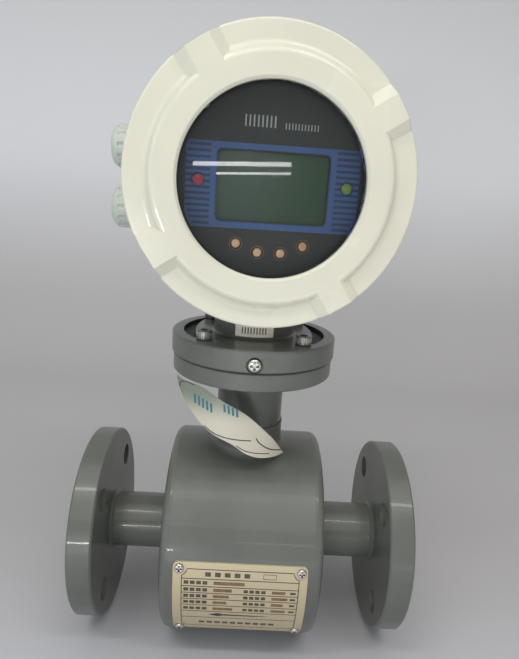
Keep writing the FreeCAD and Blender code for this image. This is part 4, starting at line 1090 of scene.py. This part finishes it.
@dataclass
class Head(Assembly):
    """Converter head: collar threads, the display's printing and its bezels."""

    height: float = 211.5
    collar_radius: float = 58.0
    front_collar: Point = (28.0, 40.0)
    rear_collar: Point = (-39.5, -27.5)
    film_face: float = 38.3
    film_radius: float = 45.0
    shift: float = 1.6
    lcd: Point = (53.5, 32.5)
    lcd_drop: float = 1.9
    lcd_margin: float = 0.5
    lcd_corner: float = 2.6
    field: tuple[float, float, float] = (42.0, 17.7, -21.8)
    field_rows: int = 40
    key_arc: float = 33.4
    key_step: float = 19.9
    lamp_offset: float = 36.0

    def dial(self, out: float = 0.0, across: float = 0.0) -> Matrix:
        """Matrix from the dial frame (X right, Y up, Z to the reader) to the row frame.

        Args:
            out: a first move towards the reader, in millimetres.
            across: a first move to the right.

        Returns:
            The matrix.
        """
        stand = Matrix.Rotation(HEAD_YAW, 4, "Z") @ Matrix.Rotation(math.radians(90), 4, "X")
        return shift_along(z=self.height) @ stand @ shift_along(across, out)

    def on_film(self, across: float, up: float, height: float) -> Vector:
        """Map a place on the display's film to the row frame."""
        return self.dial() @ (Vector((across + self.shift, up, self.film_face + height)) * MM)

    def on_rim(self, across: float, up: float, height: float) -> Vector:
        """Map a place just above the film's ink to the row frame."""
        return self.on_film(across, up, height + 0.04)

    def threads(self) -> None:
        """Run the thread round both collars."""
        tree = thread_tree()
        for name, (low, high) in (("front_thread", self.front_collar), ("rear_thread", self.rear_collar)):
            self.grown(name, tree, BODY_PAINT, "head", "body_paint",
                       {"Radius": self.collar_radius - 0.05, "Height": high - low - 2.0, "Ridge": 0.28},
                       {"Turns": 5.0}, move=self.dial(out=low + 1.0))

    def lcd_window(self) -> tuple[float, float, float]:
        """Half the width, the lower and the upper edge of the window in the blue field."""
        width, height = self.lcd
        return (width / 2 + self.lcd_margin, -height / 2 - self.lcd_drop - self.lcd_margin,
                height / 2 - self.lcd_drop + self.lcd_margin)

    def lcd_corners(self) -> list[list[tuple[Point, Point]]]:
        """Pairs of points on the window's rounded and square outlines, for each of its corners."""
        half, bottom, top = self.lcd_window()
        radius = self.lcd_corner
        corners = []
        for sign_x, sign_y in CORNERS:
            level = top if sign_y > 0 else bottom
            centre = Vector((sign_x * (half - radius), level - sign_y * radius))
            pairs = []
            for i in range(9):
                angle = math.radians(90 * i / 8)
                way = Vector((sign_x * math.cos(angle), sign_y * math.sin(angle)))
                square = centre + way * radius / max(abs(way.x), abs(way.y))
                pairs.append((tuple(centre + way * radius), tuple(square)))
            corners.append(pairs)
        return corners

    def blue_field(self) -> None:
        """Print the blue field round the display."""
        reach_limit, top, bottom = self.field
        inner, lcd_bottom, lcd_top = self.lcd_window()
        beside = inner + 2.4
        edge = self.film_radius - 0.4
        ink = Sheeting(self.on_film, step=60.0)
        ink.rectangle(-beside, lcd_top, beside, top)
        ink.rectangle(-beside, bottom, beside, lcd_bottom)
        for i in range(self.field_rows):
            low, high = (bottom + (top - bottom) * row / self.field_rows for row in (i, i + 1))
            start = inner if lcd_bottom <= (low + high) / 2 <= lcd_top else beside
            low_reach, high_reach = (min(reach_limit, math.sqrt(edge ** 2 - y ** 2)) for y in (low, high))
            for side in Side:
                ink.quad(*[(side.value * x, y) for x, y in ((start, low), (low_reach, low),
                                                            (high_reach, high), (start, high))])
        for fillet in self.lcd_corners():
            for (a, b), (c, d) in zip(fillet, fillet[1:]):
                ink.quad(a, c, d, b)
        self.printed("blue_field", ink, BLUE_INK, "head", "blue_film")

    def lcd_edge_shade(self) -> None:
        """Print the dark line round the display's rounded window, a painted shade at the film's edge."""
        spots = []
        for number, fillet in enumerate(self.lcd_corners()):
            arc = [rounded for rounded, _ in fillet]
            spots += arc if number % 2 == 0 else arc[::-1]
        ink = Sheeting(self.on_rim, step=60.0)
        ink.stroke([*spots, spots[0]], 0.55)
        self.printed("lcd_edge_shade", ink, NAVY_INK, "head", "blue_film")

    def stripes(self) -> None:
        """Print the blue field's dark stripes."""
        tree = stripe_tree()
        for side in Side:
            self.grown("stripes_%s" % side.name.lower(), tree, NAVY_INK, "head", "blue_film",
                       {"Bottom": -19.9, "Pitch": 2.76, "Inner": 30.2, "Circle": self.film_radius - 1.7,
                        "Bar": 1.30, "Thickness": 0.06}, {"Count": 14},
                       move=self.dial(self.film_face + 0.03, self.shift)
                       @ Matrix.Diagonal((side.value, 1, 1, 1)))

    def bezels(self) -> None:
        """Set the thin rings round the keys and lamps."""
        tree = ring_tree()
        angles = [math.radians(-90 + self.key_step * (i - 1.5)) for i in range(4)]
        keys = [(self.key_arc * math.cos(angle) + self.shift, self.key_arc * math.sin(angle),
                 self.film_face + 0.05) for angle in angles]
        lamps = [(side.value * self.lamp_offset + self.shift, 0.0, self.film_face + 0.1) for side in Side]
        self.grown("key_bezels", tree, BEZEL_METAL, "head", "key_metal", {"Radius": 3.05, "Wire": 0.13},
                   places=keys, move=self.dial())
        self.grown("lamp_bezels", tree, BLACK_PLASTIC, "head", "black_plastic",
                   {"Radius": 3.15, "Wire": 0.20}, places=lamps, move=self.dial())

    def film_words(self) -> None:
        """Stand plain bars where the film's heading goes."""
        ink = Sheeting(self.on_film, step=60.0)
        ink.bars(8, -14.9, 1.98, 0.7, 25.2, 30.4)
        ink.bars(11, 4.2, 1.52, 0.5, 24.9, 27.7)
        self.printed("film_heading_bars", ink, WHITE_INK, "head", "label_paper")

    def build(self) -> None:
        """Build every piece of the head."""
        self.threads()
        self.blue_field()
        self.lcd_edge_shade()
        self.stripes()
        self.bezels()
        self.film_words()


# ------------------------------------------------------------------ studio
@dataclass
class Studio:
    """Pale floor and backdrop, soft lamps and the camera. Lengths are in metres."""

    floor_level: float = -0.0616
    floor_front: float = -1.2
    floor_back: float = 0.45
    sweep_radius: float = 0.25
    wall_top: float = 2.2
    half_width: float = 2.0
    floor_colour: Colour = (0.77, 0.81, 0.91)
    foot_shadow_colour: Colour = (0.46, 0.445, 0.445)
    far_colour: Colour = (0.46, 0.445, 0.445)
    wall_colour: Colour = (0.74, 0.74, 0.75)
    upper_shade_colour: Colour = (0.50, 0.495, 0.49)
    sky_colour: Colour = (0.92, 0.95, 1.0)
    sky_strength: float = 0.31
    camera_at: Place = (-0.003693, -0.314872, 0.203952)
    camera_turn: tuple[float, float, float] = (-0.024, -0.263, -0.064)
    lens: float = 29.956
    lens_rise: float = 0.0273

    def backdrop(self) -> None:
        """Build the floor that sweeps up into the wall."""
        radius, back = self.sweep_radius, self.floor_back
        bend = [math.radians(angle) for angle in range(6, 91, 6)]
        profile = [(self.floor_front, 0.0), (back, 0.0),
                   *((back + radius * math.sin(angle), radius * (1 - math.cos(angle))) for angle in bend),
                   (back + radius, self.wall_top)]
        build = bmesh.new()
        left, right = ([build.verts.new((x, y, z + self.floor_level)) for y, z in profile]
                       for x in (-self.half_width, self.half_width))
        for i in range(len(profile) - 1):
            build.faces.new((left[i], right[i], right[i + 1], left[i + 1]))
        mesh = plain_mesh("studio_sweep", build, outward=False)
        mesh.shade_smooth()
        material = bpy.data.materials.new("studio_sweep")
        material.use_nodes = True
        graph = Graph(material.node_tree)
        shader = material.node_tree.nodes["Principled BSDF"]
        parts = graph.split(graph.place())
        # The floor is painted brighter and bluer at the front and darker round the object's foot, a painted
        # shadow; the wall is painted darker higher up, a painted shade against the lamps' stronger light
        # there.
        colour = graph.mix(graph.ramp(parts["Y"], -0.30, 0.06), self.floor_colour, self.foot_shadow_colour)
        colour = graph.mix(graph.ramp(parts["Y"], 0.10, 0.40), colour, self.far_colour)
        colour = graph.mix(graph.ramp(parts["Z"], 0.0, 0.28), colour, self.wall_colour)
        colour = graph.mix(graph.ramp(parts["Z"], 0.25, 0.75), colour, self.upper_shade_colour)
        graph.set(shader.inputs["Base Color"], colour)
        graph.set(shader.inputs["Roughness"], 0.75)
        set_material(mesh, material)
        linked("studio_sweep", mesh)

    def world(self) -> None:
        """Set the even surrounding light."""
        world = bpy.data.worlds.new("studio")
        bpy.context.scene.world = world
        world.use_nodes = True
        sky = world.node_tree.nodes["Background"]
        sky.inputs["Color"].default_value = (*self.sky_colour, 1.0)
        sky.inputs["Strength"].default_value = self.sky_strength

    def lamp(self, name: str, at: Place, aim: Place, size: Point, power: float,
             colour: Colour) -> bpy.types.Object:
        """Add a soft rectangular lamp.

        Args:
            name: its name.
            at: its place.
            aim: the point it faces.
            size: its width and height.
            power: its power in watts.
            colour: its colour.

        Returns:
            The lamp.
        """
        data = bpy.data.lights.new(name, "AREA")
        data.shape = "RECTANGLE"
        data.size, data.size_y = size
        data.energy = power
        data.color = colour
        lamp = bpy.data.objects.new(name, data)
        lamp.location = at
        lamp.rotation_mode = "QUATERNION"
        lamp.rotation_quaternion = (Vector(aim) - Vector(at)).to_track_quat("-Z", "Y")
        bpy.context.scene.collection.objects.link(lamp)
        return lamp

    def tube(self, name: str, start: Place, end: Place, width: float, power: float, ahead: Vector) -> None:
        """Add a long thin lamp between two points.

        Args:
            name: its name.
            start: one end.
            end: the other end.
            width: its width.
            power: its power in watts.
            ahead: the direction it shines in.
        """
        low, high = Vector(start), Vector(end)
        middle = (low + high) / 2
        lamp = self.lamp(name, middle, middle + ahead, ((high - low).length, width), power, (1.0, 1.0, 1.0))
        across = (high - low).normalized()
        turn = Matrix((across, across.cross(ahead), -ahead)).transposed()
        lamp.rotation_quaternion = turn.to_quaternion()

    def lamps(self) -> None:
        """Place the soft lamps and the thin tubes."""
        aim = (0.0, 0.0, 0.08)
        self.lamp("ceiling_lamp", (0.0, -0.45, 1.75), aim, (2.0, 1.3), 8.6, (1.0, 0.99, 0.96))
        self.lamp("front_lamp", (-0.1, -1.4, 1.5), aim, (1.5, 1.5), 9.0, (1.0, 1.0, 0.98))
        self.lamp("window_lamp", (-1.5, -1.2, 0.6), aim, (1.0, 1.2), 4.2, (0.70, 0.87, 1.0))
        self.lamp("warm_lamp", (1.6, -1.2, 0.5), aim, (0.9, 1.0), 1.5, (1.0, 0.90, 0.72))
        self.lamp("bounce_lamp", (0.0, -0.60, -0.060), (0.0, -0.60, 1.0), (1.3, 0.36), 1.6, (1.0, 0.99, 0.95))
        level = Vector((0.0, 1.0, -0.06)).normalized()
        self.tube("upper_tube", (0.0, -1.2, 0.2785), (0.242, -1.2, 0.2930), 0.010, 0.062, level)
        self.tube("lower_tube", (0.057, -1.2, 0.2595), (0.243, -1.2, 0.2710), 0.005, 0.026, level)
        self.tube("left_tube", (-0.46, -1.2, 0.045), (-0.16, -1.2, 0.045), 0.030, 2.0, level)
        down = Vector((0.0, 0.5, -1.0)).normalized()
        self.tube("left_ceiling_tube", (-1.0, -0.70, 1.4), (-0.27, -0.70, 1.4), 0.10, 3.4, down)
        self.tube("right_ceiling_tube", (0.27, -0.70, 1.4), (1.0, -0.70, 1.4), 0.10, 3.0, down)

    def camera(self) -> None:
        """Set the camera."""
        yaw, pitch, roll = self.camera_turn
        turn = Matrix.Rotation(yaw, 3, "Z") @ Matrix.Rotation(pitch, 3, "X") @ Matrix.Rotation(roll, 3, "Y")
        right, ahead, up = (turn.col[i] for i in range(3))
        stand = Matrix((right, up, -ahead)).transposed().to_4x4()
        stand.translation = Vector(self.camera_at)
        data = bpy.data.cameras.new("camera")
        data.sensor_width = 36.0
        data.lens = self.lens
        data.shift_y = self.lens_rise
        data.clip_start, data.clip_end = 0.01, 20.0
        camera = bpy.data.objects.new("camera", data)
        camera.matrix_world = stand
        bpy.context.scene.collection.objects.link(camera)
        bpy.context.scene.camera = camera

    def build(self) -> None:
        """Build the studio."""
        self.backdrop()
        self.world()
        self.lamps()
        self.camera()
        bpy.context.scene.view_settings.view_transform = "Standard"


def main() -> None:
    """Load the frame, dress it and build the pieces in order."""
    logging.basicConfig(level=logging.INFO, format="%(name)s %(message)s")
    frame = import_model()
    Studio().build()
    palette = Palette()
    palette.dress_nodes(frame["nodes"])
    for part in (Sensor(palette), Neck(palette), Head(palette)):
        part.build()
    bpy.context.view_layer.update()


if __name__ == "__main__":
    main()
